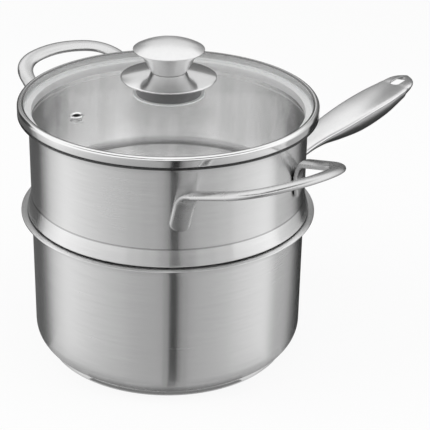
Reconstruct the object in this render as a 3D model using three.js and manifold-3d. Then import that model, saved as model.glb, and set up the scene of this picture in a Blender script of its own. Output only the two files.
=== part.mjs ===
// Saucepan with a steamer insert and a glass lid, in millimetres, +Z up.
// The origin is the middle of the pan's underside, and the long handle points along +X.
import * as THREE from 'three';
import { mergeVertices } from 'three/addons/utils/BufferGeometryUtils.js';
import Module from 'manifold-3d';

// Driving dimensions: sheet metal shared by pan and steamer
const sheet = 1;                    // thickness of the drawn steel
const wallRadius = 100;             // outside of both walls
const flareWidth = 4;               // how far a wall flares out to its flat lip
const flareHeight = 8;              // height of that flare
const lipWidth = 4.2;               // flat part of both lips
const fit = 0.3;                    // clearance between pieces that touch

// Driving dimensions: pan and its bonded base
const panHeight = 109.3;            // table to the top of the pan's lip
const cornerRadius = 16;            // outside radius between wall and floor
const baseInset = 9.4;              // wall to the edge of the base cap
const capSheet = 0.6;               // thickness of the base cap
const coreThickness = 2.4;          // heat-spreading disc inside the base

// Driving dimensions: long handle, as stations along +X
const handleLength = 189;           // bracket to the handle's tip
const handleRootDrop = 14.8;        // top of the pan's lip to the handle's upper edge at the bracket
const tipLength = 17;               // length of the rounded tip
const handleSheet = 1.6;            // thickness of the pressed handle halves
const crownHeight = 1.4;            // rise of the top plate across its width
const hangSlotLength = 15;
const hangSlotWidth = 8;
const hangSlotInset = 13;           // tip to the middle of the hang slot
const hollowStart = 67;             // bracket to where the handle becomes hollow
const handleStations = [            // distance from the bracket, rise of the upper edge, half width, depth
  [0, 0, 11, 9],
  [22, 8, 9.6, 7.4],
  [47, 16, 9.5, 6.6],
  [67, 21.5, 11.5, 9.5],
  [90, 26, 14.4, 15.5],
  [118, 30.8, 15.9, 20.8],
  [146, 34.5, 16, 19.6],
  [167, 37.1, 14.2, 14.6],
  [handleLength, 39.9, 13, 6.5],
];

// Driving dimensions: bracket that carries the handle on the pan's wall
const bracketWidth = 36;
const bracketHeight = 20;
const bracketThickness = 3;         // at its thinnest, in the middle
const bracketCorner = 7;

// Driving dimensions: steamer
const steamerHeight = 75.7;         // top of the pan's lip to the top of the steamer's lip
const creaseRise = 13;              // top of the pan's lip to where the wall ends and the shoulder starts
const beadOffset = 1;               // wall to the middle of the seating bead
const beadRound = 1.6;              // bend radius of the bead at mid sheet
const moatInset = 3;                // wall to the outer edge of the lower floor
const lowerFloorRise = 6.7;         // top of the pan's lip to the lower floor
const stepRadius = 76;              // outer edge of the step between the floors
const stepWidth = 4;
const stepHeight = 3.5;
const steamHoleRadius = 2.6;
const steamHolePitch = 11;          // between rings of holes, and about the same round a ring
const steamHoleRings = 4;
const firstRingHoles = 6;           // each ring has this many more than the one inside it

// Driving dimensions: the two loop handles of the steamer
const loopAngle = 100.3;            // long handle to the front loop, clockwise from above, degrees
const loopRise = 18.9;              // slope of the loop's plane, degrees
const loopWidth = 12;               // bar seen from above
const loopThickness = 5.2;
const loopRootDrop = 20.4;          // top of the steamer's lip to where the loop's plane meets the wall
const loopRootSpread = 48;          // half the distance between the roots
const loopCornerReach = 45.8;       // wall to the loop's corners, before rounding
const loopCornerSpread = 40;        // half the distance between the corners
const loopMidReach = 57.8;          // wall to the middle of the bar, before rounding
const loopCornerRound = 19;         // length of each corner's rounding
const loopBendLength = 9;           // length of the bend from loop to foot, each way
const loopEdgeShare = 0.35;         // share of the bar's thickness that is its straight edge
const footEdgeShare = 0.8;
const footWidth = 14.2;
const footThickness = 2.6;
const footDrop = 47.4;              // top of the steamer's lip to the foot's lower end
const footLean = 3.3;               // sideways lean of the foot, degrees round the wall
const footCorner = 4;               // radius of the two corners at the foot's lower end

// Driving dimensions: lid
const bandSheet = 0.8;              // thickness of the lid's steel band
const bandHeight = 7.2;
const bandTopWidth = 4.4;           // width of the band's rolled top edge
const bandRound = 1.2;              // bend radius of the band's edges at mid sheet
const bandSkirtDepth = 5;           // reach of the band inside the steamer's mouth
const sealThickness = 1.8;
const sealWidth = 2;
const glassThickness = 3;
const domeRise = 4.7;               // rise of the glass from edge to middle
const ventInset = 32.6;             // edge of the glass to the vent
const ventAngle = 166.5;            // direction of the vent, degrees from the long handle
const ventFlangeRadius = 5;
const ventBarrelRadius = 3.3;
const ventBoreRadius = 2.6;
const ventFlange = 0.9;             // thickness of each flange

// Driving dimensions: knob and its fixing
const washerRadius = 25.5;
const washerThickness = 1;
const collarRadius = 23.3;
const skirtRadius = 34.2;
const skirtSheet = 1;
const skirtRimHeight = 13;          // above the middle of the glass, top of the rim
const skirtRise = 4;                // rim to neck
const skirtCurl = 1.4;              // how late the skirt bends down, as a power of the way to its rim
const neckRadius = 12.4;
const neckHeight = 11.5;            // neck's bottom to the underside of the knob's cap
const capUnderRadius = 19;          // where the neck meets the cap
const capRadius = 25.6;
const capRimDrop = 6.4;             // middle of the cap to its rim
const capCurl = 2.3;                // how late the cap bends down, as a power of the way to its rim
const capHeight = 23;               // neck's bottom to the middle of the cap
const capWall = 1.2;
const bushRadius = 6;
const screwRadius = 2.4;
const screwHeadRadius = 5;
const screwHeadHeight = 2.6;
const screwHeadChamfer = 1.2;
const screwReach = 9;               // length of thread inside the bush
const lowerWasherRadius = 9;
const plateWasherRadius = 8;
const plateWasherThickness = 1.2;

// Facets
const largeTurns = 40;
const smallTurns = 24;
const ventTurns = 16;
const holeTurns = 8;
const bendSteps = 5;
const smallBendSteps = 3;
const handleSteps = 18;
const handleTipSteps = 6;
const bellySteps = 8;
const glassSteps = 5;
const beadSteps = 4;
const acrossShares = [1, 0.6, 0.2, -0.2, -0.6, -1]; // across the handle's top plate
const footShares = [0.3, 0.7, 0.85, 0.95, 1]; // along the foot, closer together at its round corners
const capShares = [0.9, 0.7, 0.45, 0]; // across the knob's cap, closer together at its rim
const weldDistance = 1e-4;          // corners closer than this are one corner
const sharpestMitre = 0.5;          // cosine of half the sharpest turn that a sheet's outline follows
const throughShare = 4;             // length of a cutting tool, in thicknesses of what it cuts

// Sizes and heights that several pieces share
const lipRadius = wallRadius - sheet / 2 + flareWidth + lipWidth;
const baseRadius = wallRadius - baseInset;
const handleRoot = wallRadius + bracketThickness;
const handleRootHeight = panHeight - handleRootDrop;
const handleReach = handleRoot + handleLength;
const creaseHeight = panHeight + creaseRise;
const lowerFloorHeight = panHeight + lowerFloorRise;
const upperFloorHeight = lowerFloorHeight + stepHeight;
const steamerLipHeight = panHeight + steamerHeight;

const degree = Math.PI / 180;
const wasm = await Module();
wasm.setup();

// Finishes
const finish = (color, roughness, metalness) => (
  new THREE.MeshStandardMaterial({ color, roughness, metalness })
);
const satinSteel = () => finish(0xc6c6c4, 0.32, 1);
const brightSteel = () => finish(0xd2d2d0, 0.16, 1);
const aluminium = () => finish(0xb4b6b8, 0.5, 1);
const clearGlass = () => finish(0xdde4e2, 0.05, 0);
const blackRubber = () => finish(0x1b1b1c, 0.7, 0);
const clearSilicone = () => finish(0xd4d6d6, 0.45, 0);
const darkCollar = () => finish(0x3a3b3c, 0.4, 0.6);

// A geometry with shared corners merged, flat slivers dropped and its faces turned outwards
function closedBody(source) {
  const bare = source.index ? source.toNonIndexed() : source.clone();
  bare.deleteAttribute('normal');
  bare.deleteAttribute('uv');
  const merged = mergeVertices(bare, weldDistance);
  const position = merged.attributes.position;
  const corner = (k) => new THREE.Vector3().fromBufferAttribute(position, k);
  const faces = [];
  let volume = 0;
  for (let i = 0; i < merged.index.count; i += 3) {
    const face = [0, 1, 2].map((k) => merged.index.getX(i + k));
    if (new Set(face).size < face.length) continue;
    const [a, b, c] = face.map(corner);
    volume += a.dot(b.cross(c));
    faces.push(face);
  }
  const turned = volume < 0 ? faces.map(([a, b, c]) => [a, c, b]) : faces;
  merged.setIndex(turned.flat());
  return merged;
}

const toSolid = (geometry) => {
  const body = closedBody(geometry);
  const vertProperties = new Float32Array(body.attributes.position.array);
  const triVerts = new Uint32Array(body.index.array);
  return new wasm.Manifold(new wasm.Mesh({ numProp: 3, vertProperties, triVerts }));
};

const toGeometry = (solid) => {
  const { vertProperties, triVerts } = solid.getMesh();
  const geometry = new THREE.BufferGeometry();
  geometry.setAttribute('position', new THREE.BufferAttribute(vertProperties, 3));
  geometry.setIndex(new THREE.BufferAttribute(triVerts, 1));
  return geometry;
};

const cut = (geometry, tools) => {
  let solid = toSolid(geometry);
  for (const tool of tools) solid = solid.subtract(toSolid(tool));
  return toGeometry(solid);
};

function piece(name, geometry, material) {
  const mesh = new THREE.Mesh(closedBody(geometry), material);
  mesh.name = name;
  return mesh;
}

// A body turned about +Z from points of radius and height, whose outline closes on itself or on the axis
function turned(points, turns = largeTurns) {
  const outline = points.map(([radius, height]) => new THREE.Vector2(Math.max(radius, 0), height));
  const onAxis = points[0][0] === 0 && points.at(-1)[0] === 0;
  if (!onAxis) outline.push(outline[0].clone());
  return new THREE.LatheGeometry(outline, turns).rotateX(Math.PI / 2);
}

// A ring of rectangular section
const ring = (inner, outer, low, high, turns = smallTurns) => (
  turned([[inner, low], [outer, low], [outer, high], [inner, high]], turns)
);

// Evenly spread values from one to another
const spread = (from, to, steps) => (
  Array.from({ length: steps + 1 }, (_, i) => THREE.MathUtils.lerp(from, to, i / steps))
);

// Points on an ellipse's arc, from one angle to another in degrees
function arc(middle, radii, from, to, steps = bendSteps) {
  return spread(from * degree, to * degree, steps).map((angle) => (
    [middle[0] + radii[0] * Math.cos(angle), middle[1] + radii[1] * Math.sin(angle)]
  ));
}

// The outline of a sheet that follows a path at mid thickness
function sheetOutline(path, thickness) {
  const points = path.map(([x, y]) => new THREE.Vector2(x, y));
  const along = (a, b) => b.clone().sub(a).normalize();
  const side = (sign) => points.map((point, i) => {
    const before = along(points[Math.max(i - 1, 0)], points[Math.max(i, 1)]);
    const next = Math.min(i + 1, points.length - 1);
    const after = along(points[next - 1], points[next]);
    const tangent = before.clone().add(after).normalize();
    const mitre = thickness / 2 / Math.max(tangent.dot(after), sharpestMitre);
    return [point.x + sign * tangent.y * mitre, point.y - sign * tangent.x * mitre];
  });
  return [...side(1), ...side(-1).reverse()];
}

// The last part of both walls: a flare that ends in a flat lip
function lipPath(lipHeight) {
  const wall = wallRadius - sheet / 2;
  const top = lipHeight - sheet / 2;
  const flare = arc([wall + flareWidth, top - flareHeight], [flareWidth, flareHeight], 180, 90);
  return [...flare, [lipRadius, top]];
}

// Height of the pan's rounded underside at a radius
const shellBottom = capSheet + coreThickness;
const cornerStart = wallRadius - cornerRadius;
const undersideAt = (radius) => (
  shellBottom + cornerRadius - Math.sqrt(cornerRadius ** 2 - Math.max(radius - cornerStart, 0) ** 2)
);

function panShell() {
  const round = cornerRadius - sheet / 2;
  const corner = arc([cornerStart, shellBottom + cornerRadius], [round, round], -90, 0);
  const path = [[0, shellBottom + sheet / 2], ...corner, ...lipPath(panHeight)];
  return piece('pan_shell', turned(sheetOutline(path, sheet)), satinSteel());
}

function baseCap() {
  const inner = baseRadius - capSheet;
  const rim = undersideAt(inner) - fit;
  const outline = [
    [0, 0], [inner, 0], [baseRadius, capSheet], [baseRadius, rim],
    [inner, rim], [inner, capSheet], [0, capSheet],
  ];
  return piece('base_cap', turned(outline), brightSteel());
}

function baseCore() {
  const edge = baseRadius - capSheet - fit;
  const outline = [[0, capSheet], [edge, capSheet], [edge, shellBottom], [0, shellBottom]];
  return piece('base_core', turned(outline), aluminium());
}

// The handle's bracket is a saddle against the round wall
function handleBracket() {
  const [, , , rootDepth] = handleStations[0];
  const middle = handleRootHeight - rootDepth / 2;
  const half = [bracketWidth / 2, bracketHeight / 2];
  const inset = [half[0] - bracketCorner, half[1] - bracketCorner];
  const shape = new THREE.Shape();
  shape.absarc(inset[0], inset[1], bracketCorner, 0, Math.PI / 2);
  shape.absarc(-inset[0], inset[1], bracketCorner, Math.PI / 2, Math.PI);
  shape.absarc(-inset[0], -inset[1], bracketCorner, Math.PI, Math.PI * 1.5);
  shape.absarc(inset[0], -inset[1], bracketCorner, Math.PI * 1.5, Math.PI * 2);
  const depth = handleRoot - Math.sqrt(wallRadius ** 2 - half[0] ** 2) + sheet;
  const block = new THREE.ExtrudeGeometry(shape, { depth, bevelEnabled: false, curveSegments: bendSteps });
  block.rotateX(Math.PI / 2).rotateZ(Math.PI / 2);
  block.translate(handleRoot - depth, 0, middle);
  const saddle = wallRadius + fit;
  const wall = new THREE.CylinderGeometry(saddle, saddle, 2 * bracketHeight, 2 * largeTurns);
  wall.rotateX(Math.PI / 2).translate(0, 0, middle);
  return piece('handle_bracket', cut(block, [wall]), satinSteel());
}

// Values of the long handle at a distance from the pan's axis
const stationCurve = (valueOf) => new THREE.SplineCurve(
  handleStations.map((station) => new THREE.Vector2(handleRoot + station[0], valueOf(station))),
);
const edgeCurve = stationCurve(([, rise]) => handleRootHeight + rise);
const halfWidthCurve = stationCurve(([, , halfWidth]) => halfWidth);
const depthCurve = stationCurve(([, , , depth]) => depth);

// Stations of a loft along the handle, closer together round the tip
function handleSections(leastDepth) {
  const sections = [];
  for (let i = 0; i <= handleSteps; i += 1) {
    const edge = edgeCurve.getPoint(i / handleSteps);
    const halfWidth = halfWidthCurve.getPoint(i / handleSteps).y;
    const depth = depthCurve.getPoint(i / handleSteps).y;
    if (edge.x < handleReach - tipLength) sections.push([edge.x, edge.y, halfWidth, depth]);
  }
  const tipHalfWidth = halfWidthCurve.getPoint(1).y;
  for (let i = 0; i < handleTipSteps; i += 1) {
    const round = Math.cos(((i / handleTipSteps) * Math.PI) / 2);
    const left = tipLength * (1 - Math.sqrt(1 - round ** 2));
    const along = 1 - left / handleLength;
    const depth = Math.max(depthCurve.getPoint(along).y * round, leastDepth);
    sections.push([handleReach - left, edgeCurve.getPoint(along).y, tipHalfWidth * round, depth]);
  }
  return sections;
}

// A closed loft through rings of points
function loft(rings) {
  const count = rings[0].length;
  const positions = rings.flat().flatMap((point) => [point.x, point.y, point.z]);
  const faces = [];
  for (let i = 0; i + 1 < rings.length; i += 1) {
    for (let k = 0; k < count; k += 1) {
      const a = i * count + k;
      const b = i * count + ((k + 1) % count);
      faces.push(a, b, a + count, b, b + count, a + count);
    }
  }
  const lastRing = (rings.length - 1) * count;
  for (let k = 1; k + 1 < count; k += 1) {
    faces.push(0, k + 1, k, lastRing, lastRing + k, lastRing + k + 1);
  }
  const geometry = new THREE.BufferGeometry();
  geometry.setAttribute('position', new THREE.Float32BufferAttribute(positions, 3));
  geometry.setIndex(faces);
  return geometry;
}

// The hang slot runs through both halves of the handle's tip
function hangSlot() {
  const half = hangSlotWidth / 2;
  const run = (hangSlotLength - hangSlotWidth) / 2;
  const shape = new THREE.Shape();
  shape.absarc(run, 0, half, -Math.PI / 2, Math.PI / 2);
  shape.absarc(-run, 0, half, Math.PI / 2, Math.PI * 1.5);
  const depth = panHeight;
  const slot = new THREE.ExtrudeGeometry(shape, { depth, bevelEnabled: false, curveSegments: bendSteps });
  return slot.translate(handleReach - hangSlotInset, 0, edgeCurve.getPoint(1).y - depth / 2);
}

const crownAt = (share) => crownHeight * (1 - share ** 2);

// The top half is a crowned plate
function handleTop() {
  const rings = handleSections(handleSheet).map(([x, edge, halfWidth]) => {
    const at = (share, drop) => new THREE.Vector3(x, halfWidth * share, edge + crownAt(share) - drop);
    const upper = acrossShares.map((share) => at(share, 0));
    const lower = acrossShares.toReversed().map((share) => at(share, handleSheet));
    return [...upper, ...lower];
  });
  return piece('handle_top', cut(loft(rings), [hangSlot()]), satinSteel());
}

// The lower half is a hollow trough under the plate, solid round the hang slot
function handleBelly() {
  const rimDrop = handleSheet + fit;
  const trough = (sections, inset, overRim) => loft(sections.map(([x, edge, halfWidth, depth]) => {
    const top = edge - rimDrop;
    const reach = Math.max(halfWidth - inset, fit);
    const drop = Math.max(depth - rimDrop - inset, fit);
    const belly = arc([0, top], [reach, drop], 0, -180, bellySteps);
    const across = acrossShares.toReversed().slice(1, -1);
    const crown = across.map((share) => [reach * share, top + crownAt(share) + overRim]);
    return [...belly, ...crown].map(([y, z]) => new THREE.Vector3(x, y, z));
  }));
  const sections = handleSections(rimDrop + fit);
  const hollowEnd = handleReach - hangSlotInset - hangSlotLength / 2 - handleSheet;
  const hollowSections = sections.filter(([x]) => x > handleRoot + hollowStart && x < hollowEnd);
  const hollow = trough(hollowSections, handleSheet, crownHeight);
  return piece('handle_belly', cut(trough(sections, 0, 0), [hollow, hangSlot()]), satinSteel());
}

// Steamer shell, from its perforated floor out to the seating bead and up to the lip
function steamerShell() {
  const beadRadius = wallRadius + beadOffset;
  const beadHeight = panHeight + beadRound + fit;
  const wall = wallRadius - sheet / 2;
  const bead = arc([beadRadius, beadHeight], [beadRound, beadRound], 180, 360, beadSteps);
  const shoulder = new THREE.QuadraticBezierCurve(
    new THREE.Vector2(beadRadius + beadRound, beadHeight),
    new THREE.Vector2((wall + beadRadius) / 2, (beadHeight + creaseHeight) / 2),
    new THREE.Vector2(wall, creaseHeight),
  );
  const path = [
    [0, upperFloorHeight], [stepRadius - stepWidth, upperFloorHeight],
    [stepRadius, lowerFloorHeight], [wallRadius - moatInset, lowerFloorHeight], ...bead,
    ...shoulder.getPoints(smallBendSteps).slice(1).map(({ x, y }) => [x, y]),
    ...lipPath(steamerLipHeight),
  ];
  const depth = throughShare * sheet;
  const holes = [];
  for (let row = 0; row <= steamHoleRings; row += 1) {
    const count = Math.max(row * firstRingHoles, 1);
    const reach = row * steamHolePitch;
    for (let k = 0; k < count; k += 1) {
      const angle = (2 * Math.PI * k) / count;
      const hole = new THREE.CylinderGeometry(steamHoleRadius, steamHoleRadius, depth, holeTurns);
      hole.rotateX(Math.PI / 2);
      hole.translate(reach * Math.cos(angle), reach * Math.sin(angle), upperFloorHeight);
      holes.push(hole);
    }
  }
  return piece('steamer_shell', cut(turned(sheetOutline(path, sheet)), holes), satinSteel());
}

// Half of a loop handle's middle line, from the middle of the bar to the foot's lower end,
// with the direction that the strip's upper face looks in at each point
function loopRoute() {
  const slope = Math.tan(loopRise * degree);
  const footReach = wallRadius + fit + footThickness / 2;
  const rootReach = Math.sqrt((footReach + loopThickness / 2) ** 2 - loopRootSpread ** 2);
  const rootAngle = Math.atan2(loopRootSpread, rootReach);
  const rootHeight = steamerLipHeight - loopRootDrop;
  const footBottom = steamerLipHeight - footDrop;
  const onPlane = (reach, side) => (
    new THREE.Vector3(reach, side, rootHeight + (reach - rootReach) * slope)
  );
  const onWall = (height) => {
    const share = (rootHeight - height) / (rootHeight - footBottom);
    const angle = rootAngle + share * footLean * degree;
    return new THREE.Vector3(footReach * Math.cos(angle), footReach * Math.sin(angle), height);
  };
  const toward = (from, to, length) => to.clone().sub(from).setLength(length).add(from);
  const bow = (from, pull, to) => new THREE.QuadraticBezierCurve3(from, pull, to).getPoints(bendSteps);

  const corner = onPlane(wallRadius + loopCornerReach, loopCornerSpread);
  const root = onPlane(rootReach, loopRootSpread);
  const peak = onPlane(wallRadius + loopMidReach, 0);
  const barEnd = toward(corner, peak, loopCornerRound);
  const barPull = barEnd.clone().add(peak).divideScalar(2);
  const barMiddle = onPlane(barPull.x, 0);
  const legStart = toward(corner, root, loopCornerRound);
  const legEnd = toward(root, corner, loopBendLength);
  const footTop = onWall(rootHeight - loopBendLength);

  const up = new THREE.Vector3(-Math.sin(loopRise * degree), 0, Math.cos(loopRise * degree));
  const inwardAt = (point) => new THREE.Vector3(-point.x, -point.y, 0).normalize();
  const loop = [...bow(barMiddle, barPull, barEnd), ...bow(barEnd, corner, legStart).slice(1), legEnd];
  const bend = bow(legEnd, root, footTop).slice(1);
  const foot = footShares.map((share) => onWall(THREE.MathUtils.lerp(footTop.z, footBottom, share)));
  return [
    ...loop.map((point) => ({ point, face: up, share: 0, width: loopWidth })),
    ...bend.map((point, i) => {
      const share = (i + 1) / bend.length;
      const face = up.clone().lerp(inwardAt(point), share).normalize();
      return { point, face, share, width: THREE.MathUtils.lerp(loopWidth, footWidth, share) };
    }),
    ...foot.map((point) => {
      const intoCorner = Math.max(1 - (point.z - footBottom) / footCorner, 0);
      const width = footWidth - 2 * footCorner * (1 - Math.sqrt(1 - intoCorner ** 2));
      return { point, face: inwardAt(point), share: 1, width };
    }),
  ];
}

// The strip's half-oval section: a flat lower face and a crowned upper face, flatter along the foot
function loopSection(share, width) {
  const thickness = THREE.MathUtils.lerp(loopThickness, footThickness, share);
  const edge = thickness * THREE.MathUtils.lerp(loopEdgeShare, footEdgeShare, share);
  const crown = arc([0, edge - thickness / 2], [width / 2, thickness - edge], 0, 180, bendSteps);
  const flat = width / 2 - edge / 2;
  return [[flat, -thickness / 2], ...crown, [-flat, -thickness / 2]];
}

function steamerLoop(name, angle) {
  const half = loopRoute();
  const mirrored = half.slice(1).toReversed().map(({ point, face, share, width }) => ({
    point: point.clone().setY(-point.y), face: face.clone().setY(-face.y), share, width,
  }));
  const route = [...mirrored, ...half];
  const rings = route.map(({ point, face, share, width }, i) => {
    const before = route[Math.max(i - 1, 0)].point;
    const after = route[Math.min(i + 1, route.length - 1)].point;
    const tangent = after.clone().sub(before).normalize();
    const normal = face.clone().addScaledVector(tangent, -face.dot(tangent)).normalize();
    const across = tangent.clone().cross(normal);
    return loopSection(share, width).map(([x, y]) => (
      point.clone().addScaledVector(across, x).addScaledVector(normal, y)
    ));
  });
  const mesh = piece(name, loft(rings), satinSteel());
  mesh.rotation.z = angle * degree;
  return mesh;
}

// Heights of the lid's pieces
const bandBottom = steamerLipHeight + fit;
const bandTop = bandBottom + bandHeight;
const glassEdgeRadius = lipRadius - bandSheet - fit;
const glassEdgeTop = bandTop - bandSheet - fit;
const glassTop = glassEdgeTop + domeRise;
const ventReach = glassEdgeRadius - ventInset;
const glassTopAt = (radius) => glassTop - domeRise * (radius / glassEdgeRadius) ** 2;
const glassUnderAt = (radius) => glassTopAt(radius) - glassThickness;
const screwHole = screwRadius + fit;

function lidBand() {
  const bend = lipRadius - bandSheet / 2 - bandRound;
  const top = bandTop - bandSheet / 2;
  const bottom = bandBottom + bandSheet / 2;
  const skirt = wallRadius - sheet - fit - bandSheet / 2;
  const path = [
    [lipRadius - bandTopWidth, top],
    ...arc([bend, top - bandRound], [bandRound, bandRound], 90, 0, smallBendSteps),
    ...arc([bend, bottom + bandRound], [bandRound, bandRound], 0, -90, smallBendSteps),
    [skirt, bottom], [skirt, bottom - bandSkirtDepth],
  ];
  return piece('lid_band', turned(sheetOutline(path, bandSheet)), brightSteel());
}

function bandSeal() {
  const outer = lipRadius - bandTopWidth + sealWidth / 2;
  const low = bandBottom + bandSheet;
  const high = Math.min(low + sealThickness, glassUnderAt(outer) - fit);
  return piece('band_seal', ring(outer - sealWidth, outer, low, high, largeTurns), clearSilicone());
}

function lidGlass() {
  const radii = spread(screwHole, glassEdgeRadius, glassSteps);
  const upper = radii.map((radius) => [radius, glassTopAt(radius)]);
  const lower = radii.toReversed().map((radius) => [radius, glassUnderAt(radius)]);
  const ventRoom = ventBarrelRadius + fit;
  const ventHole = new THREE.CylinderGeometry(ventRoom, ventRoom, throughShare * glassThickness, ventTurns);
  ventHole.rotateX(Math.PI / 2).applyMatrix4(ventPlace().matrix);
  return piece('lid_glass', cut(turned([...upper, ...lower]), [ventHole]), clearGlass());
}

// The vent stands square to the sloping glass
function ventPlace() {
  const place = new THREE.Group();
  const slope = Math.atan((2 * domeRise * ventReach) / glassEdgeRadius ** 2);
  place.rotation.set(0, slope, ventAngle * degree, 'ZYX');
  place.position.set(
    ventReach * Math.cos(ventAngle * degree),
    ventReach * Math.sin(ventAngle * degree),
    glassTopAt(ventReach) - glassThickness / 2,
  );
  place.updateMatrix();
  return place;
}

// A spool-shaped eyelet clamped through the glass
function ventEyelet() {
  const half = glassThickness / 2 + fit;
  const lower = -half - ventFlange;
  const chamfer = ventFlange / 2;
  const outline = [
    [ventBoreRadius, lower], [ventFlangeRadius - chamfer, lower], [ventFlangeRadius, -half],
    [ventBarrelRadius, -half], [ventBarrelRadius, half], [ventFlangeRadius, half],
    [ventFlangeRadius - chamfer, half + ventFlange], [ventBoreRadius, half + chamfer],
  ];
  const place = ventPlace();
  place.add(piece('vent_eyelet', turned(outline, ventTurns), brightSteel()));
  return place;
}

// Heights of the knob's pieces
const collarBottom = glassTop + washerThickness;
const skirtRimTop = glassTop + skirtRimHeight;
const neckBottom = skirtRimTop + skirtRise;
const skirtTopAt = (radius) => (
  neckBottom - skirtRise * Math.max((radius - neckRadius) / (skirtRadius - neckRadius), 0) ** skirtCurl
);

function knobPieces() {
  const skirtRadii = [screwHole, ...spread(neckRadius, skirtRadius, smallBendSteps)];
  const skirtPath = skirtRadii.map((radius) => [radius, skirtTopAt(radius) - skirtSheet / 2]);
  const skirtUnderAt = (radius) => skirtTopAt(radius) - skirtSheet - fit;
  const collar = [
    [screwHole, collarBottom], [collarRadius, collarBottom], [collarRadius, skirtUnderAt(collarRadius)],
    [neckRadius, skirtUnderAt(neckRadius)], [screwHole, skirtUnderAt(screwHole)],
  ];
  const capTop = neckBottom + capHeight;
  const capRim = capTop - capRimDrop;
  const rimRound = capWall / 2;
  const capUnder = neckBottom + neckHeight;
  const capOuter = [
    [neckRadius, neckBottom], [capUnderRadius, capUnder],
    [capRadius - rimRound, capRim - rimRound], [capRadius, capRim],
    ...capShares.map((share) => [capRadius * share, capTop - capRimDrop * share ** capCurl]),
  ];
  const hollowTop = capTop - capRimDrop - capWall;
  const capInner = [
    [0, hollowTop], [capUnderRadius - capWall, hollowTop],
    [capUnderRadius - 2 * capWall, capUnder - capWall], [neckRadius - capWall, neckBottom + capWall],
    [neckRadius - capWall, neckBottom],
  ];
  const lowerWasherTop = glassUnderAt(lowerWasherRadius) - fit;
  const plateTop = lowerWasherTop - washerThickness;
  const headTop = plateTop - plateWasherThickness;
  const screwTop = neckBottom + screwReach;
  const headBottom = headTop - screwHeadHeight;
  const screw = [
    [0, headBottom], [screwHeadRadius - screwHeadChamfer, headBottom],
    [screwHeadRadius, headBottom + screwHeadChamfer], [screwHeadRadius, headTop],
    [screwRadius, headTop], [screwRadius, screwTop], [0, screwTop],
  ];
  const bushTop = hollowTop - fit;
  const bush = [
    [bushRadius, neckBottom], [bushRadius, bushTop], [0, bushTop], [0, screwTop + fit],
    [screwHole, screwTop + fit], [screwHole, neckBottom],
  ];
  return [
    piece('knob_washer', ring(screwHole, washerRadius, glassTop, collarBottom), clearSilicone()),
    piece('knob_collar', turned(collar, smallTurns), darkCollar()),
    piece('knob_skirt', turned(sheetOutline(skirtPath, skirtSheet), smallTurns), brightSteel()),
    piece('knob_cap', turned([...capOuter, ...capInner], smallTurns), brightSteel()),
    piece('knob_bush', turned(bush, smallTurns), satinSteel()),
    piece('under_washer', ring(screwHole, lowerWasherRadius, plateTop, lowerWasherTop), blackRubber()),
    piece('plate_washer', ring(screwHole, plateWasherRadius, headTop, plateTop), satinSteel()),
    piece('knob_screw', turned(screw, smallTurns), satinSteel()),
  ];
}

const pan = new THREE.Group();
pan.add(panShell(), baseCore(), baseCap(), handleBracket(), handleTop(), handleBelly());

const steamer = new THREE.Group();
steamer.add(
  steamerShell(),
  steamerLoop('steamer_loop_front', -loopAngle),
  steamerLoop('steamer_loop_back', 180 - loopAngle),
);

const lid = new THREE.Group();
lid.add(lidBand(), bandSeal(), lidGlass(), ventEyelet(), ...knobPieces());

const saucepan = new THREE.Group();
saucepan.add(pan, steamer, lid);

export default saucepan;
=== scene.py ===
"""Looks of a steel saucepan with a steamer insert and a glass lid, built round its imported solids."""

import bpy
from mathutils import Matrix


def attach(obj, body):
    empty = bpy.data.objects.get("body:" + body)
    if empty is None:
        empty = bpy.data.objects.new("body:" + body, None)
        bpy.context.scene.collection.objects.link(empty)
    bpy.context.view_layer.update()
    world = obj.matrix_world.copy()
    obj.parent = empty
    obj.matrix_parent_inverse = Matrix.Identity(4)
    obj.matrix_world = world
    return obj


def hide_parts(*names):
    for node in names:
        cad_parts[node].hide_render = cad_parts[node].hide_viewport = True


bl_info = {
    "name": "Saucepan with Steamer Insert",
    "version": (1, 0, 0),
    "blender": (4, 5, 0),
    "location": "View3D > Sidebar > Cookware",
    "description": "Models a saucepan, its steamer insert and glass lid, with finishes and a small studio",
    "category": "Object",
}

import math

import bpy
from mathutils import Matrix, Vector

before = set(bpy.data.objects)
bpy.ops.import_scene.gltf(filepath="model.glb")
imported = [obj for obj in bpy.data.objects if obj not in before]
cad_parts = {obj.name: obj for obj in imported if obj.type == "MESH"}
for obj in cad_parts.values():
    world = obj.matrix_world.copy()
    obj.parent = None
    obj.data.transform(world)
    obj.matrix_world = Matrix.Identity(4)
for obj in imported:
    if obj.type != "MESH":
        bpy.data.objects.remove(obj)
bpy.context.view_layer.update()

MM = 0.001
MERGE = 1e-6
FULL_TURN = 2 * math.pi
UP = Vector((0, 0, 1))


# Settings that a user may change
def length(name, description, millimetres):
    """A length, written here in millimetres."""
    return bpy.props.FloatProperty(
        name=name, description=description, default=millimetres * MM, min=0.0,
        subtype="DISTANCE", unit="LENGTH",
    )


def angle(name, description, degrees):
    """An angle, written here in degrees."""
    return bpy.props.FloatProperty(
        name=name, description=description, default=math.radians(degrees), subtype="ANGLE", unit="ROTATION"
    )


def share(name, description, default):
    """A value from 0 to 1."""
    return bpy.props.FloatProperty(
        name=name, description=description, default=default, min=0.0, max=1.0, subtype="FACTOR"
    )


def factor(name, description, default):
    """A plain number."""
    return bpy.props.FloatProperty(name=name, description=description, default=default, min=0.0)


def count(name, description, default):
    """A number of steps or copies."""
    return bpy.props.IntProperty(name=name, description=description, default=default, min=1)


def colour(name, description, red, green, blue):
    """A colour in linear light."""
    return bpy.props.FloatVectorProperty(
        name=name, description=description, default=(red, green, blue), size=3,
        min=0.0, max=1.0, subtype="COLOR",
    )


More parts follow.
